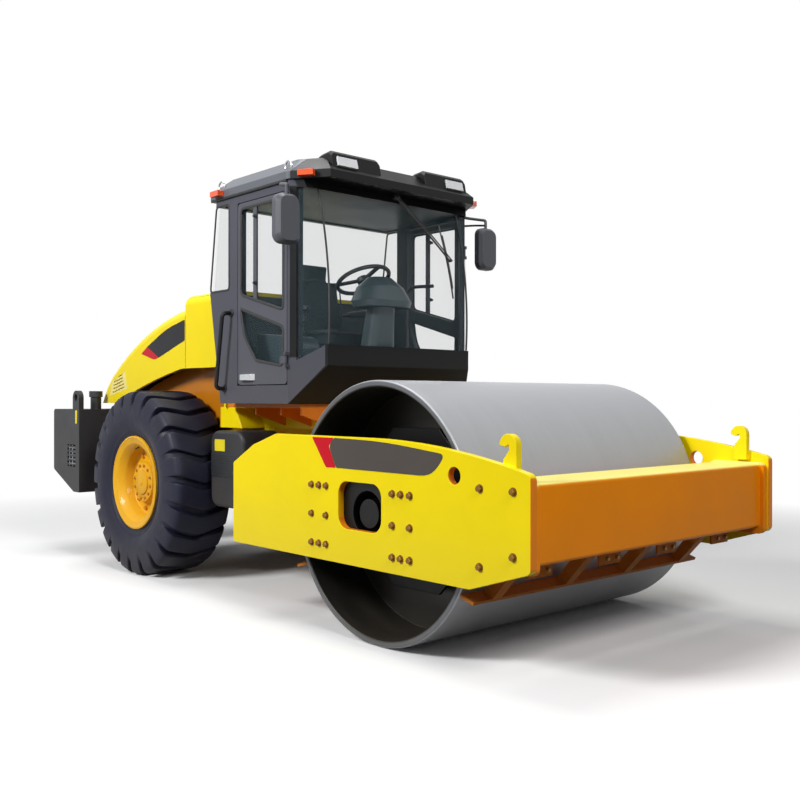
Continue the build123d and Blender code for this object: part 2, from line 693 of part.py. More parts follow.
for side_name, side in SIDES.items():
    wheel_plane = Plane(
        origin=(REAR_AXLE_X, side * WHEEL_Y, TYRE_RADIUS), x_dir=(0, side, 0), z_dir=(1, 0, 0)
    )
    rim_axis = Axis((REAR_AXLE_X, 0, TYRE_RADIUS), (0, 1, 0))
    up = side

    with BuildPart() as rear_rim:
        with BuildSketch(wheel_plane):
            with BuildLine():
                Polyline(
                    (-RIM_HALF, up * (RIM_BARREL_RADIUS - 22)),
                    (-RIM_HALF, up * RIM_FLANGE_RADIUS),
                    (-RIM_HALF + 14, up * RIM_FLANGE_RADIUS),
                    (-RIM_HALF + 14, up * RIM_BARREL_RADIUS),
                    (RIM_HALF - 14, up * RIM_BARREL_RADIUS),
                    (RIM_HALF - 14, up * RIM_FLANGE_RADIUS),
                    (RIM_HALF, up * RIM_FLANGE_RADIUS),
                    (RIM_HALF, up * (RIM_BARREL_RADIUS - 22)),
                    (45, up * (RIM_BARREL_RADIUS - 22)),
                    (45, up * 200),
                    (75, up * 185),
                    (95, up * 110),
                    (95, 0),
                    (-100, 0),
                    (-100, up * 180),
                    (10, up * 200),
                    (10, up * (RIM_BARREL_RADIUS - 22)),
                    close=True,
                )
            make_face()
        revolve(axis=rim_axis)
        with BuildSketch(axle_plane(REAR_AXLE_X, side * (WHEEL_Y - 100), TYRE_RADIUS)):
            Circle(100 + PIN_GAP)
        extrude(amount=-side * 80, mode=Mode.SUBTRACT)
    save(rear_rim.part, f"rear_rim_{side_name}")

    with BuildPart() as rear_tyre:
        add(tyre_form.part.moved(Location((REAR_AXLE_X, side * WHEEL_Y, TYRE_RADIUS))))
    save(rear_tyre.part, f"rear_tyre_{side_name}")

# Hood and bulkhead
HOOD_HINGE_X = HOOD_FRONT + PANEL_GAP / 2
HOOD_HINGE_Z = HOOD_TOP + 18
HOOD_HINGE_YS = (-380, 380)
KNUCKLE_RADIUS = 14
HINGE_PIN_RADIUS = 8
HOOD_EDGE = 90
HOOD_SILL = 1375
GRILLE_WIDTH = 1000
GRILLE_HEIGHT = 190
GRILLE_Z = 1530
GRILLE_SLOTS = 6
SLOT_HEIGHT = 16
VENT_REAR = HOOD_TAIL + 205
VENT_FRONT = RAIL_REAR + 265
VENT_SLOTS = 5
VENT_OUTLINE = ((VENT_REAR, 1440), (VENT_FRONT, 1505), (VENT_FRONT - 40, 1665), (VENT_REAR + 40, 1560))


def grille_window():
    """Outline of the grille in the hood's tail."""
    with Locations((0, GRILLE_Z)):
        RectangleRounded(GRILLE_WIDTH, GRILLE_HEIGHT, 30)


with BuildPart() as hood:
    with BuildSketch(side_plane(HOOD_HALF)):
        with BuildLine():
            back = ThreePointArc(
                (HOOD_FRONT, HOOD_TOP),
                (HOOD_FRONT - 700, HOOD_TOP - 170),
                (HOOD_TAIL + 250, HOOD_TOP - 497),
            )
            tail = TangentArc(back @ 1, (HOOD_TAIL, 1400), tangent=back % 1)
            Line(tail @ 1, (HOOD_TAIL, HOOD_SILL))
            Line((HOOD_TAIL, HOOD_SILL), (RAIL_REAR + 50, HOOD_SILL))
            lower = ThreePointArc(
                (RAIL_REAR + 50, HOOD_SILL), (REAR_AXLE_X - 507, HOOD_HEM - 130), (HOOD_FRONT - 60, HOOD_HEM)
            )
            Polyline(lower @ 1, (HOOD_FRONT, HOOD_HEM), back @ 0)
        make_face()
    extrude(amount=2 * HOOD_HALF)
    crown = hood.edges().filter_by(lambda e: abs(e.center().Y) > HOOD_HALF - 1)
    crown = crown.filter_by(lambda e: e.center().Z > 1500 and e.bounding_box().size.X > 100)
    crown = crown.filter_by(lambda e: e.center().Z > HOOD_HEM + 38 or e.center().X < HOOD_TAIL + 240)
    fillet(crown, HOOD_EDGE)
    open_faces = hood.faces().filter_by(lambda f: f.center().X > HOOD_FRONT - 1)
    open_faces += hood.faces().filter_by(lambda f: f.normal_at().Z < -0.5)
    offset(amount=-HOOD_WALL, openings=open_faces, kind=Kind.INTERSECTION)
    hood_wall = hood.part
    with BuildSketch(Plane.YZ.offset(HOOD_TAIL - 60)):
        grille_window()
    extrude(amount=300, mode=Mode.SUBTRACT)
    with BuildSketch(side_plane(HOOD_HALF + 20)):
        Polygon(*VENT_OUTLINE, align=None)
    extrude(amount=2 * HOOD_HALF + 40, mode=Mode.SUBTRACT)
    with Locations(*[(HOOD_HINGE_X - 41, y, HOOD_TOP - 19) for y in HOOD_HINGE_YS]):
        Box(76, 50, 66)
    with Locations(*[(HOOD_HINGE_X, y, HOOD_HINGE_Z) for y in HOOD_HINGE_YS]):
        Cylinder(KNUCKLE_RADIUS, 50, rotation=(90, 0, 0))
        Cylinder(HINGE_PIN_RADIUS + PIN_GAP, 60, rotation=(90, 0, 0), mode=Mode.SUBTRACT)
save(hood.part, "hood")

with BuildPart() as hood_grille:
    add(hood_wall)
    with BuildSketch(Plane.YZ.offset(HOOD_TAIL - 60)):
        grille_window()
        with Locations((0, GRILLE_Z)):
            with GridLocations(0, GRILLE_HEIGHT / GRILLE_SLOTS, 1, GRILLE_SLOTS):
                Rectangle(GRILLE_WIDTH - 60, SLOT_HEIGHT, mode=Mode.SUBTRACT)
    extrude(amount=300, mode=Mode.INTERSECT)
save(hood_grille.part, "hood_grille")

with BuildPart() as hood_vents:
    add(hood_wall)
    with BuildSketch(side_plane(HOOD_HALF + 20)):
        Polygon(*VENT_OUTLINE, align=None)
        for slot in range(VENT_SLOTS):
            with Locations(((VENT_REAR + VENT_FRONT) / 2, 1496 + slot * 30)):
                Rectangle(VENT_FRONT - VENT_REAR - 110 - slot * 18, 10, rotation=12, mode=Mode.SUBTRACT)
    extrude(amount=2 * HOOD_HALF + 40, mode=Mode.INTERSECT)
save(hood_vents.part, "hood_vents")

BULKHEAD_REAR = HOOD_FRONT + PANEL_GAP

with BuildPart() as hood_bulkhead:
    with BuildSketch(Plane.YZ.offset(BULKHEAD_REAR)) as bulkhead_sketch:
        with Locations((0, (HOOD_HEM + BULKHEAD_TOP) / 2)):
            Rectangle(2 * HOOD_HALF, BULKHEAD_TOP - HOOD_HEM)
        fillet(bulkhead_sketch.vertices().sort_by(Axis.Y).sort_by(Axis.Z)[-2:], HOOD_EDGE)
    extrude(amount=BULKHEAD_FRONT - BULKHEAD_REAR)
    with BuildSketch(Plane.YZ.offset(BULKHEAD_REAR + HOOD_WALL)):
        with Locations((0, (HOOD_HEM + BULKHEAD_TOP - HOOD_WALL) / 2 - 20)):
            Rectangle(2 * (HOOD_HALF - HOOD_WALL), BULKHEAD_TOP - HOOD_WALL - HOOD_HEM + 40)
    extrude(amount=BULKHEAD_FRONT - BULKHEAD_REAR, mode=Mode.SUBTRACT)
    with BuildSketch(Plane.YZ.offset(BULKHEAD_REAR)):
        with Locations((0, (HOOD_HEM + HOOD_TOP) / 2 - 60)):
            Rectangle(2 * (HOOD_HALF - HOOD_WALL), HOOD_TOP - HOOD_HEM)
    extrude(amount=2 * HOOD_WALL, mode=Mode.SUBTRACT)
    with BuildSketch(Plane.YZ.offset(BULKHEAD_FRONT - HOOD_WALL)):
        with Locations((0, (RAIL_TOP + BULKHEAD_TOP - HOOD_WALL) / 2)):
            Rectangle(2 * (HOOD_HALF - HOOD_WALL), BULKHEAD_TOP - HOOD_WALL - RAIL_TOP)
    extrude(amount=HOOD_WALL)
    for y in HOOD_HINGE_YS:
        with Locations((HOOD_HINGE_X, y, HOOD_HINGE_Z)):
            Cylinder(KNUCKLE_RADIUS + EAR_GAP, 56, rotation=(90, 0, 0), mode=Mode.SUBTRACT)
        with Locations((HOOD_HINGE_X, y - 46, HOOD_HINGE_Z), (HOOD_HINGE_X, y + 46, HOOD_HINGE_Z)):
            Cylinder(KNUCKLE_RADIUS, 36, rotation=(90, 0, 0))
        with Locations((HOOD_HINGE_X, y, HOOD_HINGE_Z)):
            Cylinder(HINGE_PIN_RADIUS, 110, rotation=(90, 0, 0))
save(hood_bulkhead.part, "hood_bulkhead")

# Cab
SCREEN_RADIUS = 2905
SCREEN_BULGE_Z = 1996
SCREEN_BULGE_X = CAB_FRONT + 13


def screen_x(z):
    """Outer face of the windscreen at a height, on its upright arc."""
    rise = z - SCREEN_BULGE_Z
    return SCREEN_BULGE_X - SCREEN_RADIUS + (SCREEN_RADIUS**2 - rise**2) ** 0.5


def cab_volume(inset):
    """Solid the cab encloses, drawn in by an even inset from its outer faces."""
    with BuildPart() as volume:
        with BuildSketch(side_plane(CAB_HALF - inset)):
            with BuildLine():
                lower = Polyline(
                    (-309, CAB_BOTTOM),
                    (CAB_PILLAR_X, CAB_BOTTOM),
                    (screen_x(1740), 1640),
                    (screen_x(1740), 1740),
                )
                screen = ThreePointArc(
                    lower @ 1, (screen_x(2330), 2330), (screen_x(CAB_TOP), CAB_TOP)
                )
                Polyline(screen @ 1, (-365, CAB_TOP), (-457, 2204), lower @ 0)
            make_face()
            if inset:
                offset(amount=-inset, kind=Kind.INTERSECTION, mode=Mode.REPLACE)
        extrude(amount=2 * (CAB_HALF - inset))
        slope = (CAB_HALF - CAB_FRONT_HALF) / (CAB_FRONT - CAB_PILLAR_X)
        drop = inset * (1 + slope ** 2) ** 0.5
        with BuildSketch(Plane.XY.offset(CAB_BOTTOM - 50)):
            for side in SIDES.values():
                with BuildLine():
                    Polyline(
                        (CAB_PILLAR_X - 400, side * (CAB_HALF + 400 * slope - drop)),
                        (CAB_PILLAR_X + 600, side * (CAB_HALF - 600 * slope - drop)),
                        (CAB_PILLAR_X + 600, side * (CAB_HALF + 400 * slope - drop)),
                        close=True,
                    )
                make_face()
        extrude(amount=CAB_TOP - CAB_BOTTOM + 100, mode=Mode.SUBTRACT)
    return volume.part


DOOR_HINGE_X = DOOR_FRONT + PANEL_GAP / 2
DOOR_HINGE_Y = CAB_HALF + KNUCKLE_RADIUS + 1
DOOR_HINGE_ZS = (1680, 2580)
BELT_Z = 2215
HEADER_Z = CAB_TOP - 55
FRONT_SILL = 1784
SCREEN_CUT = ((600, 1675), (CAB_FRONT, FRONT_SILL), (950, FRONT_SILL), (950, HEADER_Z), (600, HEADER_Z))
QUARTER_X = -190
QUARTER_CUT = ((QUARTER_X, BELT_Z), (QUARTER_X, HEADER_Z), (-600, HEADER_Z), (-600, BELT_Z))

with BuildPart() as cab_shell:
    add(cab_volume(0))
    add(cab_volume(CAB_WALL), mode=Mode.SUBTRACT)
    with BuildSketch(side_plane(CAB_HALF + 10)):
        for cut in (SCREEN_CUT, QUARTER_CUT):
            with BuildLine():
                Polyline(*cut, close=True)
            make_face()
        with Locations(((DOOR_REAR + DOOR_FRONT) / 2, (DOOR_BOTTOM + DOOR_TOP) / 2)):
            Rectangle(DOOR_FRONT - DOOR_REAR + 2 * PANEL_GAP, DOOR_TOP - DOOR_BOTTOM + 2 * PANEL_GAP)
    extrude(amount=2 * CAB_HALF + 20, mode=Mode.SUBTRACT)
    for side in SIDES.values():
        for z in DOOR_HINGE_ZS:
            with Locations(
                (DOOR_HINGE_X + 10, side * (CAB_HALF + 9), z - 40),
                (DOOR_HINGE_X + 10, side * (CAB_HALF + 9), z + 40),
            ):
                Box(20, 38, 24)
            with Locations(
                (DOOR_HINGE_X, side * DOOR_HINGE_Y, z - 40), (DOOR_HINGE_X, side * DOOR_HINGE_Y, z + 40)
            ):
                Cylinder(KNUCKLE_RADIUS, 24)
            with Locations((DOOR_HINGE_X, side * DOOR_HINGE_Y, z)):
                Cylinder(HINGE_PIN_RADIUS, 100)
save(cab_shell.part, "cab_shell")

GLASS_BAND = cab_volume(GLASS_INSET) - cab_volume(GLASS_INSET + GLASS_THICKNESS)
SEAM = 3

with BuildPart() as windscreen:
    add(GLASS_BAND)
    with BuildSketch(side_plane(CAB_FRONT_HALF - 22)):
        with BuildLine():
            Polyline(*SCREEN_CUT, close=True)
        make_face()
    extrude(amount=2 * (CAB_FRONT_HALF - 22), mode=Mode.INTERSECT)
save(windscreen.part, "windscreen")

with BuildPart() as cab_glass:
    add(GLASS_BAND)
    with BuildSketch(side_plane(CAB_HALF)):
        for cut in (SCREEN_CUT, QUARTER_CUT):
            with BuildLine():
                Polyline(*cut, close=True)
            make_face()
    extrude(amount=2 * CAB_HALF, mode=Mode.INTERSECT)
    with BuildSketch(side_plane(CAB_FRONT_HALF - 22 + SEAM)):
        with Locations((800, 2300)):
            Rectangle(600, 1400)
    extrude(amount=2 * (CAB_FRONT_HALF - 22 + SEAM), mode=Mode.SUBTRACT)
save(cab_glass.part, "cab_glass")

ROOF_FRONT = 815
ROOF_REAR = -485
ROOF_HALF = 865

ROOF_EDGE = 55
ROOF_LEAN = 120


def roof_outline(inset):
    """Corner points of the roof's outline, drawn in by an inset."""
    half = ROOF_HALF - inset
    right = [
        (ROOF_REAR + inset, half - 60),
        (ROOF_REAR + inset + 60, half),
        (CAB_PILLAR_X - inset / 3, half),
        (ROOF_FRONT - inset, 690 - inset / 2),
    ]
    return right + [(x, -y) for x, y in reversed(right)]


with BuildPart() as roof_form:
    with BuildSketch(Plane.XY.offset(CAB_TOP)):
        Polygon(*roof_outline(0), align=None)
    extrude(amount=ROOF_EDGE)
    with BuildSketch(Plane.XY.offset(CAB_TOP + ROOF_EDGE)):
        Polygon(*roof_outline(0), align=None)
    with BuildSketch(Plane.XY.offset(ROOF_TOP)):
        Polygon(*roof_outline(ROOF_LEAN), align=None)
    loft()

VISOR_X = ROOF_FRONT - 235
VISOR_SEAM = 3
LAMP_INNER = 215
LAMP_OUTER = 645
LENS_WIDTH = 175
LENS_HEIGHT = 66
LENS_DEPTH = 22
LENS_Z = 3022
LAMP_FRONT = ROOF_FRONT - 40
LAMP_TOP = ROOF_TOP + 40
LAMP_LEAN = 14

with BuildPart() as cab_roof:
    add(roof_form.part)
    with Locations((VISOR_X - VISOR_SEAM, 0, CAB_TOP)):
        Box(
            ROOF_FRONT,
            3 * ROOF_HALF,
            3 * ROOF_EDGE + ROOF_TOP - CAB_TOP,
            align=(Align.MIN, Align.CENTER, Align.CENTER),
            mode=Mode.SUBTRACT,
        )
save(cab_roof.part, "cab_roof")

with BuildPart() as roof_visor:
    add(roof_form.part)
    with Locations((VISOR_X, 0, CAB_TOP)):
        Box(
            ROOF_FRONT,
            3 * ROOF_HALF,
            3 * ROOF_EDGE + ROOF_TOP - CAB_TOP,
            align=(Align.MIN, Align.CENTER, Align.CENTER),
            mode=Mode.INTERSECT,
        )
save(roof_visor.part, "roof_visor")


def lens_place(side):
    """Seat of a lamp's lens, leaning back a little at the outer end of the housing."""
    return Location((LAMP_FRONT - LENS_DEPTH / 2, side * (LAMP_OUTER - 40 - LENS_WIDTH / 2), LENS_Z), (0, -LAMP_LEAN, 0))


with BuildPart() as work_lamps:
    with BuildSketch(side_plane(LAMP_OUTER)):
        with BuildLine():
            Polyline(
                (LAMP_FRONT + 12, CAB_TOP + ROOF_EDGE + 8),
                (LAMP_FRONT - 12, LAMP_TOP - 20),
                (LAMP_FRONT - 40, LAMP_TOP),
                (VISOR_X + 60, LAMP_TOP - 10),
                (VISOR_X + 20, ROOF_TOP - 20),
                (VISOR_X + 20, CAB_TOP + ROOF_EDGE + 8),
                close=True,
            )
        make_face()
    extrude(amount=LAMP_OUTER - LAMP_INNER)
    ends = work_lamps.faces().filter_by(Axis.Y).edges().filter_by(lambda e: e.center().Z > LAMP_TOP - 22)
    chamfer(ends, 18)
    mirror(about=Plane.XZ)
    add(roof_visor.part, mode=Mode.SUBTRACT)
    with Locations(*[lens_place(side) for side in SIDES.values()]):
        Box(LENS_DEPTH + 40, LENS_WIDTH, LENS_HEIGHT, align=(Align.MIN, Align.CENTER, Align.CENTER), mode=Mode.SUBTRACT)
save(work_lamps.part, "work_lamps")

with BuildPart() as lamp_lenses:
    with Locations(*[lens_place(side) for side in SIDES.values()]):
        Box(
            LENS_DEPTH,
            LENS_WIDTH - 2 * PIN_GAP,
            LENS_HEIGHT - 2 * PIN_GAP,
            align=(Align.MIN, Align.CENTER, Align.CENTER),
        )
    add(roof_visor.part, mode=Mode.SUBTRACT)
save(lamp_lenses.part, "lamp_lenses")

RING_RADIUS = 36
RING_WIRE = 8
RING_Z = CAB_TOP + ROOF_EDGE + 45
RING_PLACES = ((VISOR_X - 60, ROOF_HALF - 40), (ROOF_REAR + 150, ROOF_HALF - 40))

with BuildPart() as lifting_rings:
    for x, y in RING_PLACES:
        with BuildSketch(Plane(origin=(x, y, RING_Z))):
            with Locations((RING_RADIUS, 0)):
                RegularPolygon(RING_WIRE, 6)
        revolve(axis=Axis((x, y, RING_Z), (0, 1, 0)))
    mirror(about=Plane.XZ)
    add(cab_roof.part, mode=Mode.SUBTRACT)
save(lifting_rings.part, "lifting_rings")

UPPER_PANE = ((-30, 2165), (498, 2022), (498, 2785), (-30, 2785))
PANE_CORNER = 38
PANE_BAR_X = 150
PANE_BAR_WIDTH = 44


def upper_pane():
    """Outline of the door's sliding window."""
    with BuildSketch() as pane:
        with BuildLine():
            Polyline(*UPPER_PANE, close=True)
        make_face()
        fillet(pane.vertices(), PANE_CORNER)
    return pane.sketch


def lower_pane():
    """Outline of the door's lower window, swept up at its rear."""
    with BuildSketch() as pane:
        with BuildLine():
            sweep_up = ThreePointArc((-28, 2062), (40, 1835), (170, 1685))
            Polyline(sweep_up @ 1, (490, 1640), (498, 1908), sweep_up @ 0)
        make_face()
        fillet(pane.vertices(), PANE_CORNER / 2)
    return pane.sketch


for side_name, side in SIDES.items():
    with BuildPart() as door:
        outer_y = CAB_HALF if side > 0 else CAB_WALL - CAB_HALF
        with BuildSketch(side_plane(outer_y)) as door_sketch:
            with Locations(((DOOR_REAR + DOOR_FRONT) / 2, (DOOR_BOTTOM + DOOR_TOP) / 2)):
                Rectangle(DOOR_FRONT - DOOR_REAR, DOOR_TOP - DOOR_BOTTOM)
            fillet(door_sketch.vertices(), 30)
            add(upper_pane(), mode=Mode.SUBTRACT)
            add(lower_pane(), mode=Mode.SUBTRACT)
        extrude(amount=CAB_WALL)
        bar_y = side * (CAB_HALF - GLASS_INSET / 2)
        with Locations((PANE_BAR_X, bar_y, (UPPER_PANE[0][1] + DOOR_TOP) / 2 - 40)):
            Box(PANE_BAR_WIDTH, GLASS_INSET, DOOR_TOP - UPPER_PANE[0][1] + 40)
        for z in DOOR_HINGE_ZS:
            with Locations((DOOR_HINGE_X - 38, side * (CAB_HALF + 5), z)):
                Box(70, 10, 50)
            with Locations((DOOR_HINGE_X - 6, side * (CAB_HALF + 10), z)):
                Box(12, 16, 50)
            with Locations((DOOR_HINGE_X, side * DOOR_HINGE_Y, z)):
                Cylinder(KNUCKLE_RADIUS, 50)
                Cylinder(HINGE_PIN_RADIUS + PIN_GAP, 60, mode=Mode.SUBTRACT)
    save(door.part, f"door_{side_name}")

    with BuildPart() as door_glass:
        glass_y = side * (CAB_HALF - GLASS_INSET)
        with BuildSketch(side_plane(glass_y if side > 0 else glass_y + GLASS_THICKNESS)):
            add(upper_pane())
            add(lower_pane())
        extrude(amount=GLASS_THICKNESS)
    save(door_glass.part, f"door_glass_{side_name}")

    with BuildPart() as door_handle:
        with BuildSketch(Plane.XY.offset(1545)):
            with BuildLine():
                Polyline(
                    (DOOR_REAR + 50, side * CAB_HALF),
                    (DOOR_REAR + 62, side * (CAB_HALF + 26)),
                    (DOOR_REAR + 150, side * (CAB_HALF + 32)),
                    (DOOR_REAR + 205, side * (CAB_HALF + 24)),
                    (DOOR_REAR + 220, side * CAB_HALF),
                    close=True,
                )
            make_face()
        extrude(amount=46)
        fillet(door_handle.edges().filter_by(lambda e: abs(e.center().Y) > CAB_HALF + 15), 6)
        with Locations((DOOR_REAR + 110, side * (CAB_HALF + 6), 1545)):
            Box(90, 24, 36, mode=Mode.SUBTRACT)
    save(door_handle.part, f"door_handle_{side_name}")

# Cab interior
FLOOR_Z = CAB_BOTTOM + CAB_WALL
SEAT_X = -60
SEAT_WIDTH = 500
SEAT_Z = FLOOR_Z + 400
BACK_LEAN = 60

with BuildPart() as seat_base:
    with BuildSketch(Plane.XY.offset(FLOOR_Z)):
        with Locations((SEAT_X, 0)):
            RectangleRounded(380, 420, 40)
    with BuildSketch(Plane.XY.offset(SEAT_Z - 140)):
        with Locations((SEAT_X, 0)):
            RectangleRounded(300, 340, 40)
    loft()
    with BuildSketch(Plane.XY.offset(SEAT_Z - 140)):
        with Locations((SEAT_X, 0)):
            RectangleRounded(420, 440, 50)
    extrude(amount=140)
save(seat_base.part, "seat_base")

with BuildPart() as seat_cushions:
    with BuildSketch(Plane.XY.offset(SEAT_Z)):
        with Locations((SEAT_X, 0)):
            RectangleRounded(500, SEAT_WIDTH, 70)
    extrude(amount=110)
    with BuildSketch(side_plane(SEAT_WIDTH / 2 - 20)):
        with BuildLine():
            Polyline(
                (SEAT_X - 130, SEAT_Z + 110),
                (SEAT_X - 130 - BACK_LEAN, SEAT_Z + 540),
                (SEAT_X - 230 - BACK_LEAN, SEAT_Z + 540),
                (SEAT_X - 250, SEAT_Z + 110),
                close=True,
            )
        make_face()
    extrude(amount=SEAT_WIDTH - 40)
    with BuildSketch(side_plane(130)):
        with Locations((SEAT_X - 185 - BACK_LEAN, SEAT_Z + 610)):
            RectangleRounded(80, 150, 30)
    extrude(amount=260)
save(seat_cushions.part, "seat_cushions")

POD_X = 540
POD_Z = 2085
WHEEL_PLACE = Location((330, 0, 2310), (0, -25, 0))
COLUMN_RADIUS = 22
COLUMN_LENGTH = 190
WHEEL_RADIUS = 200

with BuildPart() as console:
    with BuildSketch(Plane.XY.offset(FLOOR_Z)):
        with Locations((POD_X - 100, 0)):
            RectangleRounded(180, 300, 60)
    with BuildSketch(Plane.XY.offset(POD_Z)):
        with Locations((POD_X - 10, 0)):
            RectangleRounded(160, 200, 60)
    loft()
    for level, length, width in ((0, 330, 430), (45, 350, 450)):
        with BuildSketch(Plane.XY.offset(POD_Z + level)):
            with Locations((POD_X, 0)):
                RectangleRounded(length, width, 150)
    loft()
    for level, length, width, corner in ((45, 350, 450, 150), (150, 290, 360, 140), (225, 150, 180, 70)):
        with BuildSketch(Plane.XY.offset(POD_Z + level)):
            with Locations((POD_X - level / 8, 0)):
                RectangleRounded(length, width, corner)
    loft(ruled=True)
    with Locations(WHEEL_PLACE * Location((0, 0, 60))):
        Cylinder(
            COLUMN_RADIUS + PIN_GAP,
            COLUMN_LENGTH + 60 + PIN_GAP,
            align=(Align.CENTER, Align.CENTER, Align.MAX),
            mode=Mode.SUBTRACT,
        )
save(console.part, "console")

with BuildPart() as steering_wheel:
    with BuildSketch(Plane.XZ):
        with Locations((WHEEL_RADIUS, 0)):
            RegularPolygon(16, 8)
    revolve(axis=Axis.Z)
    with PolarLocations(0, 3):
        with Locations((WHEEL_RADIUS / 2, 0, 0)):
            Box(WHEEL_RADIUS, 36, 14)
    Cylinder(48, 36)
    Cylinder(COLUMN_RADIUS, COLUMN_LENGTH, align=(Align.CENTER, Align.CENTER, Align.MAX))
save(steering_wheel.part.moved(WHEEL_PLACE), "steering_wheel")

RAIL_TUBE = 16
with BuildPart() as handrails:
    with BuildLine():
        FilletPolyline(
            (-160, CAB_HALF, 2040), (-160, CAB_HALF + 75, 2040), (-250, CAB_HALF + 75, 1490), (-250, CAB_HALF, 1490),
            radius=35,
        )
    with BuildSketch(Plane(origin=(-160, CAB_HALF, 2040), z_dir=(0, 1, 0))):
        RegularPolygon(RAIL_TUBE, 8)
    sweep()
    mirror(about=Plane.XZ)
save(handrails.part, "handrails")

MIRROR_X = 690
MIRROR_Y = 960
MIRROR_Z = 2600
with BuildPart() as mirrors:
    with BuildSketch(Plane.YZ.offset(MIRROR_X - 30)):
        with Locations((MIRROR_Y, MIRROR_Z)):
            RectangleRounded(190, 330, 60)
    extrude(amount=45)
    with BuildSketch(Plane.YZ.offset(MIRROR_X + 15)):
        with Locations((MIRROR_Y, MIRROR_Z)):
            RectangleRounded(190, 330, 60)
    with BuildSketch(Plane.YZ.offset(MIRROR_X + 45)):
        with Locations((MIRROR_Y, MIRROR_Z)):
            RectangleRounded(150, 290, 50)
    loft()
    with BuildLine():
        FilletPolyline(
            (CAB_PILLAR_X - 6, CAB_HALF, CAB_TOP - 40),
            (CAB_PILLAR_X - 6, CAB_HALF + 60, CAB_TOP - 40),
            (MIRROR_X, MIRROR_Y, CAB_TOP - 70),
            (MIRROR_X, MIRROR_Y, MIRROR_Z + 100),
            radius=20,
        )
    with BuildSketch(Plane(origin=(CAB_PILLAR_X - 6, CAB_HALF, CAB_TOP - 40), z_dir=(0, 1, 0))):
        RegularPolygon(12, 8)
    sweep()
    mirror(about=Plane.XZ)
save(mirrors.part, "mirrors")

WIPER_TOP = (50, CAB_TOP - 25)
WIPER_TIP = (357, 2170)


def wiper_point(share, lift):
    """Point on the wiper's line, by its share from the top and lift off the glass."""
    y = WIPER_TOP[0] + share * (WIPER_TIP[0] - WIPER_TOP[0])
    z = WIPER_TOP[1] + share * (WIPER_TIP[1] - WIPER_TOP[1])
    return (screen_x(z) + lift, y, z)


def wiper_bar(start, end, width, depth):
    """Straight bar between two points of the wiper."""
    run = Vector(*end) - Vector(*start)
    with BuildSketch(Plane(origin=start, x_dir=(1, 0, 0), z_dir=run)) as section:
        Rectangle(depth, width)
    extrude(section.sketch, amount=run.length, dir=run)


with BuildPart() as wiper:
    wiper_bar(wiper_point(0, 30), wiper_point(0.62, 36), 14, 10)
    wiper_bar(wiper_point(0.06, 30), wiper_point(0.62, 30), 8, 8)
    wiper_bar(wiper_point(0.36, 14), wiper_point(0.68, 16), 12, 22)
    wiper_bar(wiper_point(0.68, 16), wiper_point(1, 14), 12, 22)
    with Locations((screen_x(WIPER_TOP[1] - 23) + 23, WIPER_TOP[0], WIPER_TOP[1])):
        Box(46, 70, 46)
save(wiper.part, "wiper")

CORNER_ANGLE = degrees(atan2(690 - ROOF_HALF, ROOF_FRONT - CAB_PILLAR_X))

with BuildPart() as marker_lamps:
    with Locations(
        Location((694, 802, CAB_TOP + 30), (0, 0, CORNER_ANGLE)),
        Location((-300, ROOF_HALF + 25, CAB_TOP + 30)),
    ):
        Box(110, 50, 40)
    mirror(about=Plane.XZ)
save(marker_lamps.part, "marker_lamps")

with BuildPart() as tail_lamps:
    with Locations((REAR_END + 20, 880, 1230)):
        Box(40, 180, 90)
    mirror(about=Plane.XZ)
save(tail_lamps.part, "tail_lamps")
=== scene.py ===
"""Dressing of a single-drum road roller: finishes, tyres, trim and a studio stage.

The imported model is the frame: metres, +X forward, +Y to the machine's left, +Z up.
"""

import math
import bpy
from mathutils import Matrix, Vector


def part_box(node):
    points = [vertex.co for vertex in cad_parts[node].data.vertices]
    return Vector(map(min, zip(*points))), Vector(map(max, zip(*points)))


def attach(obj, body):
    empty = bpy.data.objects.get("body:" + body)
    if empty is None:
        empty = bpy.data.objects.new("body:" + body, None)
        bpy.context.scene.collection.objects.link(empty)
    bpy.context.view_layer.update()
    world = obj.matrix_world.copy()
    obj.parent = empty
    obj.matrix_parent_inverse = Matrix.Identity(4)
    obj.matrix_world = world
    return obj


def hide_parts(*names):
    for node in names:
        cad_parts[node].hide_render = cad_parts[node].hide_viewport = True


bl_info = {
    "name": "Road roller dressing",
    "version": (1, 0, 0),
    "blender": (4, 5, 0),
    "location": "3D View > Sidebar > Roller",
    "description": "Finishes, tyres, trim and stage for a single-drum road roller",
    "category": "Object",
}

import bmesh
import bpy
import numpy as np

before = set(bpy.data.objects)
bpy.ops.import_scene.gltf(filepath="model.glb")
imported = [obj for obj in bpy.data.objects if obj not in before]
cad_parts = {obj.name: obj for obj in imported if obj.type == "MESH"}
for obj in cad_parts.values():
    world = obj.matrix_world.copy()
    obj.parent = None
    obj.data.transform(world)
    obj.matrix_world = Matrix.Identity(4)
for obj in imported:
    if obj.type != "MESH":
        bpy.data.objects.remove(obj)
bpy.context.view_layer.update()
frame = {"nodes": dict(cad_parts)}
NODES = frame["nodes"]

# each side's name, the sign of its Y and its outward axis
SIDES = (("right", -1, "-y"), ("left", 1, "y"))
# distance of each outer face from the middle
PLATE_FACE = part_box("side_plates")[1].y
HOOD_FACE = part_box("hood")[1].y
TANK_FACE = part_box("step_tanks")[1].y
WEIGHT_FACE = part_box("counterweight")[1].y
CAB_FACE = 0.85
# middle of the left wheel, and the drum's axis in X and Z
WHEEL_X, WHEEL_Y, WHEEL_Z = ((low + high) / 2 for low, high in zip(*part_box("rear_tyre_left")))
DRUM_AXIS = (1.72, 0.7615)
# the windscreen's arc from the side: its foremost X, its radius and the height of its middle
SCREEN_FRONT, SCREEN_RADIUS, SCREEN_MIDDLE = 0.784, 2.905, 1.996


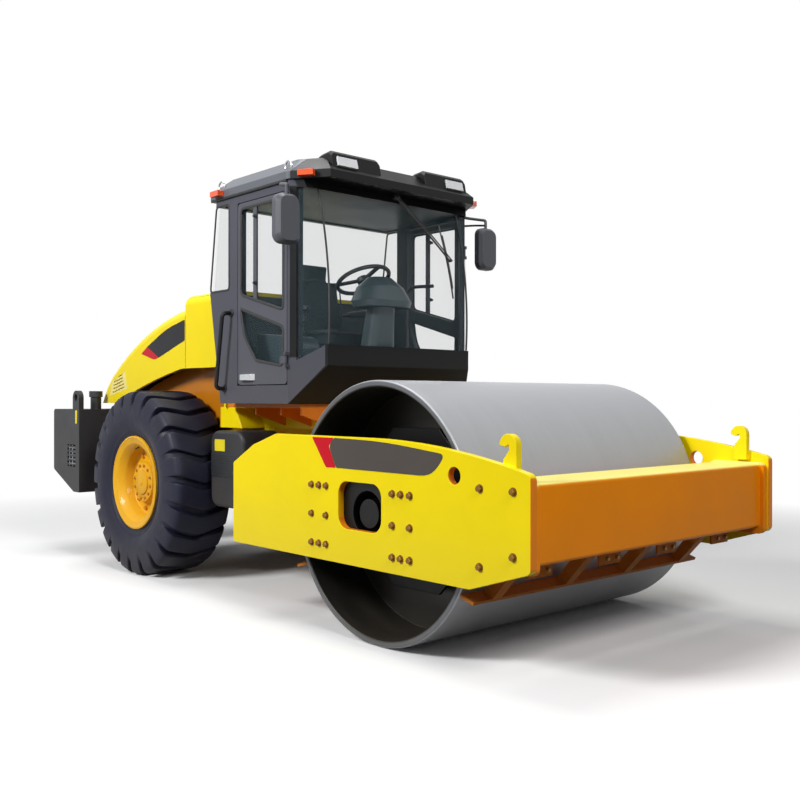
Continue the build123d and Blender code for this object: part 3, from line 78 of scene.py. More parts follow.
def screen_x(z):
    """Front of the curved windscreen: front - radius + sqrt(radius^2 - (z - middle)^2)."""
    rise = np.asarray(z, float) - SCREEN_MIDDLE
    return SCREEN_FRONT - SCREEN_RADIUS + np.sqrt(SCREEN_RADIUS**2 - rise**2)


def linear(code):
    """An sRGB hex colour as linear red, green and blue."""
    shares = [int(code[i : i + 2], 16) / 255 for i in (1, 3, 5)]
    return tuple(c / 12.92 if c <= 0.04045 else ((c + 0.055) / 1.055) ** 2.4 for c in shares)


class RollerSizes(bpy.types.PropertyGroup):
    """Sizes of the added trim."""

    lug_count: bpy.props.IntProperty(
        name="Tyre lugs", description="Chevron lugs around each tyre", default=22, min=8, max=40
    )
    lug_depth: bpy.props.FloatProperty(
        name="Lug depth", description="Height of a lug over the carcass", default=0.038, unit="LENGTH"
    )
    groove_width: bpy.props.FloatProperty(
        name="Groove width", description="Gap between two lugs", default=0.058, unit="LENGTH"
    )
    chevron: bpy.props.FloatProperty(
        name="Chevron", description="How far a lug's ends trail its point", default=0.08, unit="LENGTH"
    )
    plate_bolt: bpy.props.FloatProperty(
        name="Plate bolt", description="Width across flats of the plate bolts", default=0.03, unit="LENGTH"
    )
    seal_width: bpy.props.FloatProperty(
        name="Window seal", description="Width of the rubber round a window", default=0.022, unit="LENGTH"
    )
    edge_round: bpy.props.FloatProperty(
        name="Edge rounding", description="Rounding of the plates' cut edges", default=0.004, unit="LENGTH"
    )


# what every colour setting shares
SHADE = {"subtype": "COLOR", "min": 0, "max": 1}


class RollerColours(bpy.types.PropertyGroup):
    """Colours of the finishes."""

    panel: bpy.props.FloatVectorProperty(
        name="Panel paint", description="Outer panels", default=linear("#F4DB06"), **SHADE
    )
    # painted shade: an amber that stands in for shade on the plates' cut edges and window walls
    frame: bpy.props.FloatVectorProperty(
        name="Frame paint", description="Cut edges of the plates", default=linear("#E27F08"), **SHADE
    )
    cab: bpy.props.FloatVectorProperty(
        name="Cab paint", description="Cab and doors", default=linear("#4A4B54"), **SHADE
    )
    dark: bpy.props.FloatVectorProperty(
        name="Dark paint", description="Counterweight and tanks", default=linear("#2A2B2F"), **SHADE
    )
    rubber: bpy.props.FloatVectorProperty(
        name="Tyre rubber", description="Tyres", default=linear("#131527"), **SHADE
    )
    steel: bpy.props.FloatVectorProperty(
        name="Drum steel", description="Drum shell", default=linear("#A4A6AA"), **SHADE
    )
    stripe: bpy.props.FloatVectorProperty(
        name="Stripe", description="Stripe at the panels' ends", default=linear("#C40F22"), **SHADE
    )


# Shapes: each is an array of points and a list of face index arrays


def grid_faces(rows, columns, close_rows=False, close_columns=False):
    """Quads of a grid whose points run row by row: (i, j), (i, j+1), (i+1, j+1), (i+1, j)."""
    i = np.arange(rows if close_rows else rows - 1)
    j = np.arange(columns if close_columns else columns - 1)
    i, j = np.meshgrid(i, j, indexing="ij")
    after_i = (i + 1) % rows
    after_j = (j + 1) % columns
    quads = [i * columns + j, i * columns + after_j, after_i * columns + after_j, after_i * columns + j]
    return np.stack(quads, axis=-1).reshape(-1, 4)


def capped(rows, columns):
    """Faces of a body of stacked rings: quads between the rings and a flat face at each end."""
    first = np.arange(columns)
    ends = np.stack([first[::-1], first + (rows - 1) * columns])
    return [grid_faces(rows, columns, close_columns=True), ends]


def unit(rows):
    """Rows of numbers, each scaled to a length of 1."""
    return rows / np.linalg.norm(rows, axis=1, keepdims=True)


def gather(shapes):
    """One shape from several: points stacked, face indices moved on by the points before."""
    starts = np.cumsum([0] + [len(points) for points, _ in shapes])
    points = np.concatenate([points for points, _ in shapes])
    faces = [polygons + start for (_, group), start in zip(shapes, starts) for polygons in group]
    return points, faces


def tiled(shape, moves):
    """A shape repeated at each move: points plus every move, as one array."""
    points, faces = shape
    moves = np.asarray(moves, float).reshape(-1, 3)
    spread = (points[None] + moves[:, None]).reshape(-1, 3)
    steps = np.arange(len(moves))[:, None, None] * len(points)
    return spread, [(group[None] + steps).reshape(-1, group.shape[1]) for group in faces]


def flipped(shape, side):
    """A shape made for the left side, or its mirror image in Y for the right."""
    points, faces = shape
    return points * np.array([1, side, 1]), faces


def turned_to(points, axis):
    """Points with local z carried to an axis of the machine: 'x', '-x', 'y', '-y' or 'z'."""
    order = {"x": (2, 0, 1), "y": (1, 2, 0), "z": (0, 1, 2)}[axis[-1]]
    sign = -1 if axis[0] == "-" else 1
    moved = points[:, order].copy()
    moved[:, "xyz".index(axis[-1])] *= sign
    return moved


# the most of an edge that the curve at one of its ends may take up
EDGE_SHARE = 0.48


def rounded(corners, radius, steps=6):
    """An outline with each corner swung round on a quadratic curve that starts a radius away."""
    corners = np.asarray(corners, float)
    radius = np.broadcast_to(np.asarray(radius, float), len(corners))[:, None]
    before = np.roll(corners, 1, axis=0) - corners
    after = np.roll(corners, -1, axis=0) - corners
    length_before = np.linalg.norm(before, axis=1, keepdims=True)
    length_after = np.linalg.norm(after, axis=1, keepdims=True)
    start = corners + before / length_before * np.minimum(radius, EDGE_SHARE * length_before)
    end = corners + after / length_after * np.minimum(radius, EDGE_SHARE * length_after)
    t = np.linspace(0, 1, steps)[None, :, None]
    swing = (1 - t) ** 2 * start[:, None] + 2 * t * (1 - t) * corners[:, None] + t**2 * end[:, None]
    return swing.reshape(-1, corners.shape[1])


def rectangle(low, high, radius, steps):
    """A rounded rectangle between its lowest and highest corners."""
    (left, foot), (right, top) = low, high
    return rounded([(left, foot), (right, foot), (right, top), (left, top)], radius, steps)


def prism(outline, axis, low, high):
    """A flat outline carried along an axis from low to high, closed at both ends."""
    outline = np.asarray(outline, float)
    count = len(outline)
    along = "xyz".index(axis)
    across = [k for k in range(3) if k != along]
    points = np.zeros((2, count, 3))
    points[:, :, across] = outline
    points[0, :, along] = low
    points[1, :, along] = high
    return points.reshape(-1, 3), capped(2, count)


def tube(path, radius, sides=10, closed=False):
    """A round section carried along a path: centre + radius (cos u normal + sin u binormal)."""
    path = np.asarray(path, float)
    if closed:
        run = np.roll(path, -1, axis=0) - np.roll(path, 1, axis=0)
    else:
        run = np.gradient(path, axis=0)
    run = unit(run)
    spread = np.ptp(path, axis=0)
    lean = np.eye(3)[np.argmin(spread)] + 0.05 * np.eye(3)[np.argsort(spread)[1]]
    normal = unit(np.cross(run, lean))
    binormal = np.cross(run, normal)
    u = np.linspace(0, 2 * np.pi, sides, endpoint=False)
    radius = np.broadcast_to(np.asarray(radius, float), len(path))[:, None, None]
    ring = np.cos(u)[None, :, None] * normal[:, None] + np.sin(u)[None, :, None] * binormal[:, None]
    points = (path[:, None] + radius * ring).reshape(-1, 3)
    if closed:
        return points, [grid_faces(len(path), sides, close_rows=True, close_columns=True)]
    return points, capped(len(path), sides)


def smooth_path(points, steps=8):
    """A path through points on Catmull-Rom curves, steps to each run."""
    points = np.asarray(points, float)
    padded = np.concatenate([2 * points[:1] - points[1:2], points, 2 * points[-1:] - points[-2:-1]])
    t = np.linspace(0, 1, steps, endpoint=False)[None, :, None]
    a, b, c, d = (padded[k : len(points) - 1 + k][:, None] for k in range(4))
    run = 0.5 * (2 * b + (c - a) * t + (2 * a - 5 * b + 4 * c - d) * t**2 + (3 * b - a - 3 * c + d) * t**3)
    return np.concatenate([run.reshape(-1, points.shape[1]), points[-1:]])


def turned(profile, segments, axis="z", sides=None):
    """A profile of radius and height turned about an axis, closed by flat ends.

    With sides given, the radius becomes that of a polygon: r / cos of the angle to its nearest flat.
    """
    profile = np.asarray(profile, float)
    u = np.linspace(0, 2 * np.pi, segments, endpoint=False)
    stretch = np.ones(segments)
    if sides:
        half = np.pi / sides
        stretch = 1 / np.cos((u + half) % (2 * half) - half)
    radius = profile[:, :1] * stretch
    height = np.repeat(profile[:, 1:], segments, 1)
    points = np.stack([radius * np.cos(u), radius * np.sin(u), height], axis=-1).reshape(-1, 3)
    return turned_to(points, axis), capped(len(profile), segments)


def hex_bolt(across, axis):
    """A washer with a chamfered hexagon head on it, its seat at the origin."""
    height = across * 0.62
    flat = across / 2
    washer = [(flat * 1.5, -0.002), (flat * 1.5, 0.0025), (flat * 1.42, 0.0035), (flat * 0.8, 0.0035)]
    head = [(flat * 0.98, 0.003), (flat, 0.005), (flat, height * 0.82), (flat * 0.9, height)]
    head.append((flat * 0.55, height))
    return gather([turned(washer, 18, axis), turned(head, 12, axis, sides=6)])


def frame_strip(outline, face, width, height, side):
    """A low rounded strip carried round a closed outline on an upright face.

    At each point the section runs from the outer edge over a crown to the inner edge.
    """
    outline = np.asarray(outline, float)
    run = unit(np.roll(outline, -1, axis=0) - np.roll(outline, 1, axis=0))
    out = np.stack([run[:, 1], -run[:, 0]], axis=1)
    if np.sum(out * (outline - outline.mean(axis=0))) < 0:
        out = -out
    u = np.linspace(0, np.pi, 7)
    sunk = -0.004
    across = np.concatenate([np.cos(u) * width / 2, [-width / 2, width / 2]])
    lift = np.concatenate([np.sin(u) ** 0.6 * height, [sunk, sunk]])
    flat = outline[:, None] + out[:, None] * across[None, :, None]
    points = np.empty((len(outline), len(across), 3))
    points[:, :, 0] = flat[:, :, 0]
    points[:, :, 2] = flat[:, :, 1]
    points[:, :, 1] = side * (face + lift)
    return points.reshape(-1, 3), [grid_faces(len(outline), len(across), close_rows=True, close_columns=True)]


def cushion_form(size, power, rows, columns):
    """A rounded block: size / 2 times sign(c) |c|^power of each coordinate c of a sphere of radius 1."""
    v = np.linspace(-np.pi / 2, np.pi / 2, rows + 2)[1:-1, None]
    u = np.linspace(0, 2 * np.pi, columns, endpoint=False)[None]
    sphere = np.stack([np.cos(v) * np.cos(u), np.cos(v) * np.sin(u), np.sin(v) * np.ones_like(u)], axis=-1)
    block = np.sign(sphere) * np.abs(sphere) ** power * np.array(size) / 2
    return block.reshape(-1, 3), capped(rows, columns)


def tyre_form(sizes, centre):
    """A lugged tyre: point = carcass + lug(s) (crown - carcass), s counted in lug pitches.

    lug(s) is 0 in a groove and 1 on a lug. The pitch lines trail back with distance
    from the middle, which makes the chevrons, and the section closes inside the rim.
    """
    # half width and radius up the sidewall, then those of the lugs' crown and of the carcass
    wall = [
        (0.200, 0.325), (0.209, 0.350), (0.212, 0.392), (0.226, 0.412), (0.231, 0.421), (0.228, 0.430),
        (0.246, 0.466), (0.2575, 0.515), (0.2590, 0.560),
    ]
    tread = [
        (0.2580, 0.600, 0.2550, 0.598), (0.2540, 0.640, 0.2440, 0.628), (0.2480, 0.680, 0.2260, 0.654),
        (0.2360, 0.712, 0.2020, 0.675), (0.2200, 0.729, 0.1760, 0.689), (0.1900, 0.737, 0.1500, 0.696),
        (0.1300, 0.7392, 0.1050, 0.700), (0.0650, 0.7398, 0.0550, 0.7015), (0.0000, 0.7400, 0.0000, 0.7020),
    ]
    # the lug depth drawn above, the radius at which pitches are measured, the rounding of a chevron's
    # point, and the half width over which a lug trails
    drawn_depth, pitch_radius, point, half_width = 0.038, 0.72, 0.012, 0.26
    section = smooth_path(np.concatenate([np.tile(wall, 2), tread]), 2)
    section = np.concatenate([section, section[-2::-1] * np.array([-1, 1, -1, 1])])
    section[:, 3] = section[:, 1] - (section[:, 1] - section[:, 3]) * sizes.lug_depth / drawn_depth
    pitch = 2 * np.pi / sizes.lug_count
    groove = sizes.groove_width / (pitch * pitch_radius) / 2
    # half a groove across with the lug's height there, and points along half a lug's top
    edge = np.array([0, 0.45, 0.82, 0.92, 1.0, 1.06, 1.14]) * groove
    lift = np.array([0, 0, 0.0, 0.35, 0.88, 0.975, 1.0])
    far = np.array([0.24, 0.32, 0.41])
    share = np.concatenate([-far[::-1], -edge[:0:-1], edge, far, [0.5]])
    lug = np.concatenate([np.ones(3), lift[:0:-1], lift, np.ones(4)])
    s = (np.arange(sizes.lug_count)[:, None] + share[None]).ravel()
    lug = np.tile(lug, sizes.lug_count)
    half = np.abs(section[:, 0])
    back = np.minimum((half**2 + point**2) ** 0.5 - point, half_width - 0.01)
    trail = -sizes.chevron * back / half_width / pitch_radius
    y = section[:, None, 2] + lug[None] * (section[:, None, 0] - section[:, None, 2])
    r = section[:, None, 3] + lug[None] * (section[:, None, 1] - section[:, None, 3])
    angle = (s[None] + 0.5) * pitch + trail[:, None]
    points = np.stack([r * np.sin(angle), y, r * np.cos(angle)], axis=-1) + centre
    rows, columns = angle.shape
    return points.reshape(-1, 3), [grid_faces(rows, columns, close_rows=True, close_columns=True)]


# the materials by name
FINISHES = {}


# in degrees: edges that shade as sharp, and those that a bevel rounds on added pieces and on nodes
SHARP_ANGLE, PIECE_ANGLE, NODE_ANGLE = 38, 32, 25


def round_edges(piece, width, angle):
    """Bevel a piece's edges that are sharper than an angle in degrees."""
    rounding = piece.modifiers.new("edge_round", "BEVEL")
    rounding.width = width
    rounding.segments = 2
    rounding.limit_method = "ANGLE"
    rounding.angle_limit = math.radians(angle)
    return rounding


def place(name, shape, coat, body="rear_frame", smooth=True, bevel=0.0):
    """Put a shape into a mesh at the origin, point its faces outward and let it ride on a body."""
    points, faces = shape
    mesh = bpy.data.meshes.new(name)
    mesh.from_pydata(points.tolist(), [], [row for group in faces for row in group.tolist()])
    grown = bmesh.new()
    grown.from_mesh(mesh)
    bmesh.ops.recalc_face_normals(grown, faces=grown.faces)
    grown.to_mesh(mesh)
    grown.free()
    mesh.polygons.foreach_set("use_smooth", np.full(len(mesh.polygons), smooth))
    mesh.materials.append(FINISHES[coat])
    piece = bpy.data.objects.new(name, mesh)
    bpy.context.scene.collection.objects.link(piece)
    if smooth:
        mesh.set_sharp_from_angle(angle=math.radians(SHARP_ANGLE))
    if bevel:
        round_edges(piece, bevel, PIECE_ANGLE).harden_normals = True
    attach(piece, body)
    return piece


# Finishes

DUST = (*linear("#8A7A62"), 1)
# the part of a noise's range that most of its values fill
NOISE_RANGE = {"From Min": 0.3, "From Max": 0.7}


def add(tree, kind, inputs=None, **settings):
    """Add a shader node of a kind, set its settings, and set or link its inputs."""
    made = tree.nodes.new("ShaderNode" + kind)
    for name, value in settings.items():
        setattr(made, name, value)
    for name, value in (inputs or {}).items():
        if isinstance(value, bpy.types.NodeSocket):
            tree.links.new(value, made.inputs[name])
        else:
            made.inputs[name].default_value = value
    return made


def tone(code):
    """A colour setting by its name, or an sRGB hex code, as a linear colour for a socket."""
    if code.startswith("#"):
        return (*linear(code), 1)
    return (*getattr(bpy.context.scene.roller_colours, code), 1)


def where(tree, coords, cases):
    """Share of a second colour by place: the largest over the cases of the least of their slopes.

    A slope climbs from 0 to 1 between its start and end. It is measured along a direction, with
    Y taken without its sign, or as the distance from a crosswise axis given by its X and Z.
    """
    split = add(tree, "SeparateXYZ", {"Vector": coords}).outputs
    side = add(tree, "Math", {0: split["Y"]}, operation="ABSOLUTE").outputs[0]
    folded = add(tree, "CombineXYZ", {"X": split["X"], "Y": side, "Z": split["Z"]}).outputs[0]
    share = None
    for slopes in cases:
        least = None
        for measure, start, end in slopes:
            if len(measure) == 3:
                reach = add(tree, "VectorMath", {0: folded, 1: measure}, operation="DOT_PRODUCT")
            else:
                axis = (measure[0], 0, measure[1])
                moved = add(tree, "VectorMath", {0: folded, 1: axis}, operation="SUBTRACT").outputs[0]
                flat = add(tree, "VectorMath", {0: moved, 1: (1, 0, 1)}, operation="MULTIPLY").outputs[0]
                reach = add(tree, "VectorMath", {0: flat}, operation="LENGTH")
            span = {"Value": reach.outputs["Value"], "From Min": start, "From Max": end}
            slope = add(tree, "MapRange", span).outputs["Result"]
            if least:
                slope = add(tree, "Math", {0: least, 1: slope}, operation="MINIMUM").outputs[0]
            least = slope
        if share:
            least = add(tree, "Math", {0: share, 1: least}, operation="MAXIMUM").outputs[0]
        share = least
    return share


def finish(
    name, colour, mottle, rough, grain, nodes,
    dust=None, stretch=(1, 1, 1), metal=0.0, coat=0.0, specular=0.5, alpha=1.0, places=(),
):
    """A coating or bare material from two noises on Object coordinates, laid on the named nodes.

    mottle: size in mm and share of the colour's slow change. rough: lowest and highest roughness.
    grain: size in mm and depth in mm of the bump. Real orange peel and grit are 0.5 to 2 mm wide,
    too fine to show from where the camera stands, so most grains are drawn coarser.
    dust: lower and upper height and share of the dust that settles low.
    places: further colours, each with the cases of where it lies.
    """
    material = bpy.data.materials.new(name)
    material.use_nodes = True
    tree = material.node_tree
    shader = tree.nodes["Principled BSDF"]
    coords = add(tree, "TexCoord").outputs["Object"]
    mapped = add(tree, "Mapping", {"Vector": coords, "Scale": stretch}).outputs["Vector"]
    waves = {"Vector": mapped, "Scale": 1000 / mottle[0], "Detail": 6.0, "Roughness": 0.6}
    slow = add(tree, "TexNoise", waves).outputs["Fac"]
    waves = {"Vector": mapped, "Scale": 1000 / grain[0], "Detail": 3.0}
    fine = add(tree, "TexNoise", waves).outputs["Fac"]
    base = tone(colour)
    for other, cases in places:
        layers = {"Factor": where(tree, coords, cases), "A": base, "B": tone(other)}
        base = add(tree, "Mix", layers, data_type="RGBA").outputs["Result"]
    span = {"Value": slow, **NOISE_RANGE, "To Min": 1 - mottle[1], "To Max": 1 + mottle[1] / 2}
    shade = add(tree, "MapRange", span).outputs["Result"]
    layers = {"Factor": 1.0, "A": base, "B": shade}
    tint = add(tree, "Mix", layers, data_type="RGBA", blend_type="MULTIPLY").outputs["Result"]
    span = {"Value": slow, **NOISE_RANGE, "To Min": rough[0], "To Max": rough[1]}
    roughness = add(tree, "MapRange", span).outputs["Result"]
    if dust:
        height = add(tree, "SeparateXYZ", {"Vector": coords}).outputs["Z"]
        span = {"Value": height, "From Min": dust[0], "From Max": dust[1], "To Min": dust[2], "To Max": 0.0}
        settled = add(tree, "MapRange", span).outputs["Result"]
        patchy = add(tree, "Math", {0: settled, 1: slow}, operation="MULTIPLY").outputs[0]
        layers = {"Factor": patchy, "A": tint, "B": DUST}
        tint = add(tree, "Mix", layers, data_type="RGBA").outputs["Result"]
        rougher = {0: patchy, 1: 0.5, 2: roughness}
        roughness = add(tree, "Math", rougher, operation="MULTIPLY_ADD").outputs[0]
    relief = {"Height": fine, "Strength": 0.5, "Distance": grain[1] / 1000}
    bump = add(tree, "Bump", relief).outputs["Normal"]
    tree.links.new(tint, shader.inputs["Base Color"])
    tree.links.new(roughness, shader.inputs["Roughness"])
    tree.links.new(bump, shader.inputs["Normal"])
    shader.inputs["Metallic"].default_value = metal
    shader.inputs["Coat Weight"].default_value = coat
    shader.inputs["Coat Roughness"].default_value = 0.12
    shader.inputs["Specular IOR Level"].default_value = specular
    shader.inputs["Alpha"].default_value = alpha
    FINISHES[name] = material
    for node in nodes:
        slots = NODES[node].data.materials
        slots.clear()
        slots.append(material)


def soften(node, width):
    """Round a node's cut edges: weld its loose triangles, join the flat ones, bevel the edges.

    Normals are weighted by face area, so the flats between the rounded edges shade as flats.
    """
    piece = NODES[node]
    mesh = piece.data
    mesh.polygons.foreach_set("use_smooth", np.ones(len(mesh.polygons), bool))
    weld = piece.modifiers.new("weld", "WELD")
    weld.merge_threshold = 0.00003
    flat = piece.modifiers.new("join_flats", "DECIMATE")
    flat.decimate_type = "DISSOLVE"
    flat.angle_limit = math.radians(0.3)
    round_edges(piece, width, NODE_ANGLE)
    shading = piece.modifiers.new("flat_shading", "WEIGHTED_NORMAL")
    shading.mode = "FACE_AREA"
    shading.weight = 80


# nodes whose edges stay as they are, and thin ones that take only a small rounding
PANES = "windscreen cab_glass door_glass_right door_glass_left"
SHARP_NODES = f"{PANES} rear_tyre_right rear_tyre_left".split()
THIN_NODES = (
    "handrails mirrors wiper lifting_rings lamp_lenses marker_lamps door_handle_right door_handle_left"
    " hood_vents hood_grille tail_lamps fuel_filler"
).split()
THIN_ROUND = 0.0015
# directions along which a change of colour is measured, with Y taken without its sign
AHEAD, ASIDE, ABOVE, BEHIND, BELOW = (1, 0, 0), (0, 1, 0), (0, 0, 1), (-1, 0, 0), (0, 0, -1)
# the cab's inner side: behind the door's skin, behind the corner posts' skin and over the floor
CAB_INSIDE = [[(ASIDE, 0.834, 0.826), ((0.620, 0.785, 0), 0.998, 0.990), (ABOVE, 1.39, 1.40)]]
# the front apron, the corner posts' fronts and the roof's header in black, and the sloping underside painted
# black as painted shade
CAB_BLACK_AND_UNDERSIDE_SHADE = [
    [(AHEAD, 0.757, 0.759), (ABOVE, 1.60, 1.62)],
    [(AHEAD, 0.563, 0.566), (ASIDE, 0.79, 0.80), (ABOVE, 1.69, 1.70), (BELOW, -2.86, -2.85)],
    [((1, 0, 0.3), 1.455, 1.465)],
    [((0.784, 0, -0.621), -0.4236, -0.4224)],
]
# painted shade: the side plates' front edges, the walls of their windows and of their lifting holes, painted
# amber where shade falls on the yellow plate
PLATE_EDGE_SHADE = [
    [(AHEAD, 2.954, 2.957)],
    [(AHEAD, 1.50, 1.51), (BEHIND, -1.90, -1.89), (ASIDE, 1.1665, 1.1645), (ABOVE, 0.66, 0.665),
     (BELOW, -0.945, -0.94)],
    [((2.453, 1.024), 0.0475, 0.0465), (ASIDE, 1.1665, 1.1645)],
]
BLACK, LINING = "#101214", "#2B3539"
# each look: name, colour, mottle, roughness, grain, the nodes that have it, and what else sets it apart
LOOKS = (
    # sprayed gloss enamel on thick plate: clean yellow with soft lights, the cut edges painted amber as
    # painted shade, dust low down
    ("plate_enamel_edge_shade", "panel", (500, 0.05), (0.3, 0.42), (14, 0.12), "side_plates",
     dict(dust=(0.3, 0.8, 0.3), coat=0.05, specular=0.14, places=[("frame", PLATE_EDGE_SHADE)])),
    # sprayed gloss enamel on thin sheet: the same yellow, a little smoother
    ("panel_enamel", "panel", (600, 0.05), (0.28, 0.4), (16, 0.12), "hood hood_bulkhead",
     dict(dust=(1.2, 1.7, 0.2), coat=0.06, specular=0.12)),
    # enamel on pressed louvres: painted paler, a painted reflection of the sky they catch
    ("vent_enamel", "#EFE08A", (200, 0.06), (0.4, 0.5), (6, 0.2), "hood_vents", dict(specular=0.14)),
    # brushed-on chassis enamel, yellow in truth: a duller ochre that is painted shade, as in the wheel arch,
    # dusty low down, and yellow on the panel under the cab
    ("rail_enamel_painted_shade", "#B9700F", (350, 0.09), (0.35, 0.5), (12, 0.2), "frame_yoke frame_rails",
     dict(dust=(0.2, 1.0, 0.4), coat=0.15, specular=0.14, places=[("panel", [[(AHEAD, -0.64, -0.62)]])])),
    # enamel on folded plate, yellow in truth: the matt amber faces are painted shade, and the pale top flange
    # is a painted highlight of the light from above
    ("beam_shade_and_highlight", "#F08B04", (500, 0.07), (0.34, 0.48), (14, 0.15), "front_beam rear_beam",
     dict(dust=(0.3, 0.9, 0.25), coat=0.02, specular=0.08, places=[("#F3E67C", [[(ABOVE, 0.996, 1.004)]])])),
    # enamel on the scrapers, yellow in truth: uneven brownish amber that is painted shade under the beam
    ("scraper_painted_shade", "#BF6E12", (160, 0.15), (0.4, 0.6), (8, 0.3), "scrapers",
     dict(dust=(0.0, 0.7, 0.5), specular=0.14)),
    # enamel on welded brackets, yellow in truth: warm amber that is painted shade under the cab
    ("support_painted_shade", "#D9771A", (250, 0.09), (0.35, 0.5), (12, 0.2), "cab_support",
     dict(dust=(0.6, 1.4, 0.2), coat=0.15, specular=0.14)),
    # baked enamel on pressed wheel discs: deep golden yellow with dust in the dish
    ("rim_enamel", "#EDB010", (250, 0.1), (0.35, 0.5), (10, 0.2), "rear_rim_right rear_rim_left",
     dict(dust=(0.2, 1.2, 0.3), coat=0.15, specular=0.14)),
    # satin powder coat on the cab: broad dim lights on grey, black in front, painted shade on the sloping
    # underside, dark lining inside
    ("cab_satin", "cab", (450, 0.06), (0.4, 0.52), (5, 0.08), "cab_shell",
     dict(dust=(1.3, 1.9, 0.1), specular=0.16, places=[(LINING, CAB_INSIDE), (BLACK, CAB_BLACK_AND_UNDERSIDE_SHADE)])),
    # the same powder coat on the doors, with a little more sheen
    ("door_satin", "cab", (450, 0.06), (0.4, 0.52), (5, 0.08), "door_right door_left",
     dict(dust=(1.3, 1.9, 0.1), coat=0.1, specular=0.25, places=[(LINING, [[(ASIDE, 0.834, 0.826)]])])),
    # powder coat on the roof: lighter grey above, dark headlining below
    ("roof_satin", "#5A5D64", (450, 0.06), (0.38, 0.5), (5, 0.08), "cab_roof",
     dict(coat=0.1, specular=0.3, places=[("#2A3438", [[(ABOVE, 2.9035, 2.9015)]])])),
    # satin paint on castings and tanks: charcoal, dusty towards the ground
    ("dark_satin", "dark", (350, 0.1), (0.4, 0.55), (6, 0.12), "counterweight step_tanks",
     dict(dust=(0.3, 1.3, 0.2), specular=0.3)),
    # satin black paint on bars and hydraulics: thin soft lights
    ("black_satin", BLACK, (300, 0.12), (0.38, 0.55), (5, 0.08),
     "rear_axle steering_barrel_right steering_barrel_left hood_grille handrails",
     dict(dust=(0.2, 1.2, 0.12), specular=0.25)),
    # moulded black visor: nearly no light; the same near black on the drum's end plates and carriers is
    # painted shade inside the drum
    ("visor_black_and_drum_shade", "#08090A", (300, 0.1), (0.34, 0.46), (5, 0.08),
     "roof_visor work_lamps drum_plates drum_carriers", dict(specular=0.2)),
    # rolled mild steel scuffed round its girth: silky grey bands, darker rims, and near black inside the
    # shell as painted shade
    ("drum_steel", "steel", (160, 0.07), (0.36, 0.5), (7, 0.12), "drum_shell",
     dict(dust=(-0.3, 0.35, 0.3), stretch=(0.3, 2.0, 0.3), metal=0.35, places=[
         ("#5C5E62", [[(ASIDE, 1.0615, 1.0640)]]), ("#262523", [[(DRUM_AXIS, 0.735, 0.728)]])])),
    # sand-cast iron in black primer: matt, gritty and dusty
    ("cast_iron", "#242527", (120, 0.2), (0.55, 0.7), (4, 0.5), "centre_link engine",
     dict(dust=(0.2, 1.2, 0.4))),
    # hard chrome, ground and polished: sharp bright lights
    ("rod_chrome", "#C6C8CC", (80, 0.05), (0.08, 0.16), (40, 0.02),
     "steering_rod_right steering_rod_left lifting_rings", dict(metal=1.0)),
    # moulded tyre rubber: bluish black, uneven, dusty where it meets the ground
    ("tyre_rubber", "rubber", (160, 0.2), (0.46, 0.62), (6, 0.3), "rear_tyre_right rear_tyre_left",
     dict(dust=(-0.1, 0.3, 0.2), specular=0.28)),
    # extruded rubber: plain dull black
    ("black_rubber", "#141517", (60, 0.1), (0.5, 0.65), (3, 0.15), "drum_buffers", {}),
    # moulded ABS with a fine grain: dark grey, softly lit
    ("black_plastic", "#1B1D20", (120, 0.08), (0.42, 0.55), (1.6, 0.12),
     "fuel_filler seat_base steering_wheel wiper", {}),
    # moulded ABS faded by the sun: mid grey
    ("mirror_plastic", "#45484F", (120, 0.06), (0.38, 0.5), (1.6, 0.12), "mirrors", {}),
    # vacuum-formed trim with a skin: blue grey, slightly glossy
    ("console_plastic", "#36454A", (150, 0.08), (0.3, 0.45), (1.8, 0.15), "console", dict(coat=0.2)),
    # woven seat cloth: no gloss, its weave drawn 2.2 mm wide so that it shows
    ("seat_cloth", "#283234", (90, 0.12), (0.75, 0.9), (2.2, 0.5), "seat_cushions", dict(specular=0.3)),
    # float glass with a blue grey tint: mostly see-through, with clear reflections
    ("tinted_glass", "#44606A", (400, 0.05), (0.03, 0.07), (400, 0.05), PANES,
     dict(specular=0.8, alpha=0.075)),
    # moulded acrylic lamp covers: wet-looking orange, red and clear
    ("amber_lens", "#F0520E", (60, 0.06), (0.1, 0.18), (8, 0.1), "marker_lamps", dict(coat=0.5)),
    ("red_lens", "#B3150F", (60, 0.06), (0.1, 0.18), (8, 0.1), "tail_lamps", dict(coat=0.5)),
    ("clear_lens", "#E9EBEE", (60, 0.05), (0.08, 0.16), (6, 0.2), "lamp_lenses", dict(coat=0.6)),
    # zinc plating painted over: dull brass tone with small lights
    ("zinc_bolt", "#80591E", (12, 0.25), (0.32, 0.5), (2, 0.1), "", dict(metal=0.6)),
    # wheel nuts painted with the rim: the same gold, a little metallic
    ("wheel_nut", "#CE8A1C", (12, 0.2), (0.35, 0.5), (2, 0.1), "", dict(metal=0.3)),
    # cast vinyl film: flat, even colour with a faint sheen
    ("stripe_film", "stripe", (200, 0.04), (0.3, 0.4), (20, 0.05), "", dict(specular=0.15)),
    ("panel_film", "#4A4440", (250, 0.06), (0.38, 0.48), (4, 0.05), "", dict(specular=0.2)),
    ("hood_film", "#1A1B1F", (250, 0.06), (0.38, 0.48), (4, 0.05), "", dict(specular=0.2)),
    # reflective sheeting, left blank: clear yellow
    ("blank_film", "#E8D21E", (80, 0.05), (0.35, 0.45), (10, 0.03), "", {}),
    # cast zinc, chromed: bright, slightly blurred
    ("silver", "#C9CBCD", (40, 0.08), (0.2, 0.32), (3, 0.05), "door_handle_right door_handle_left",
     dict(metal=0.85)),
    # galvanised bar: pale, patchy metal
    ("step_steel", "#8D9094", (30, 0.15), (0.35, 0.55), (2, 0.1), "", dict(metal=0.7)),
    # silvered glass: a clear mirror
    ("mirror_face", "#D5DADF", (200, 0.02), (0.03, 0.05), (200, 0.01), "", dict(metal=1.0)),
)


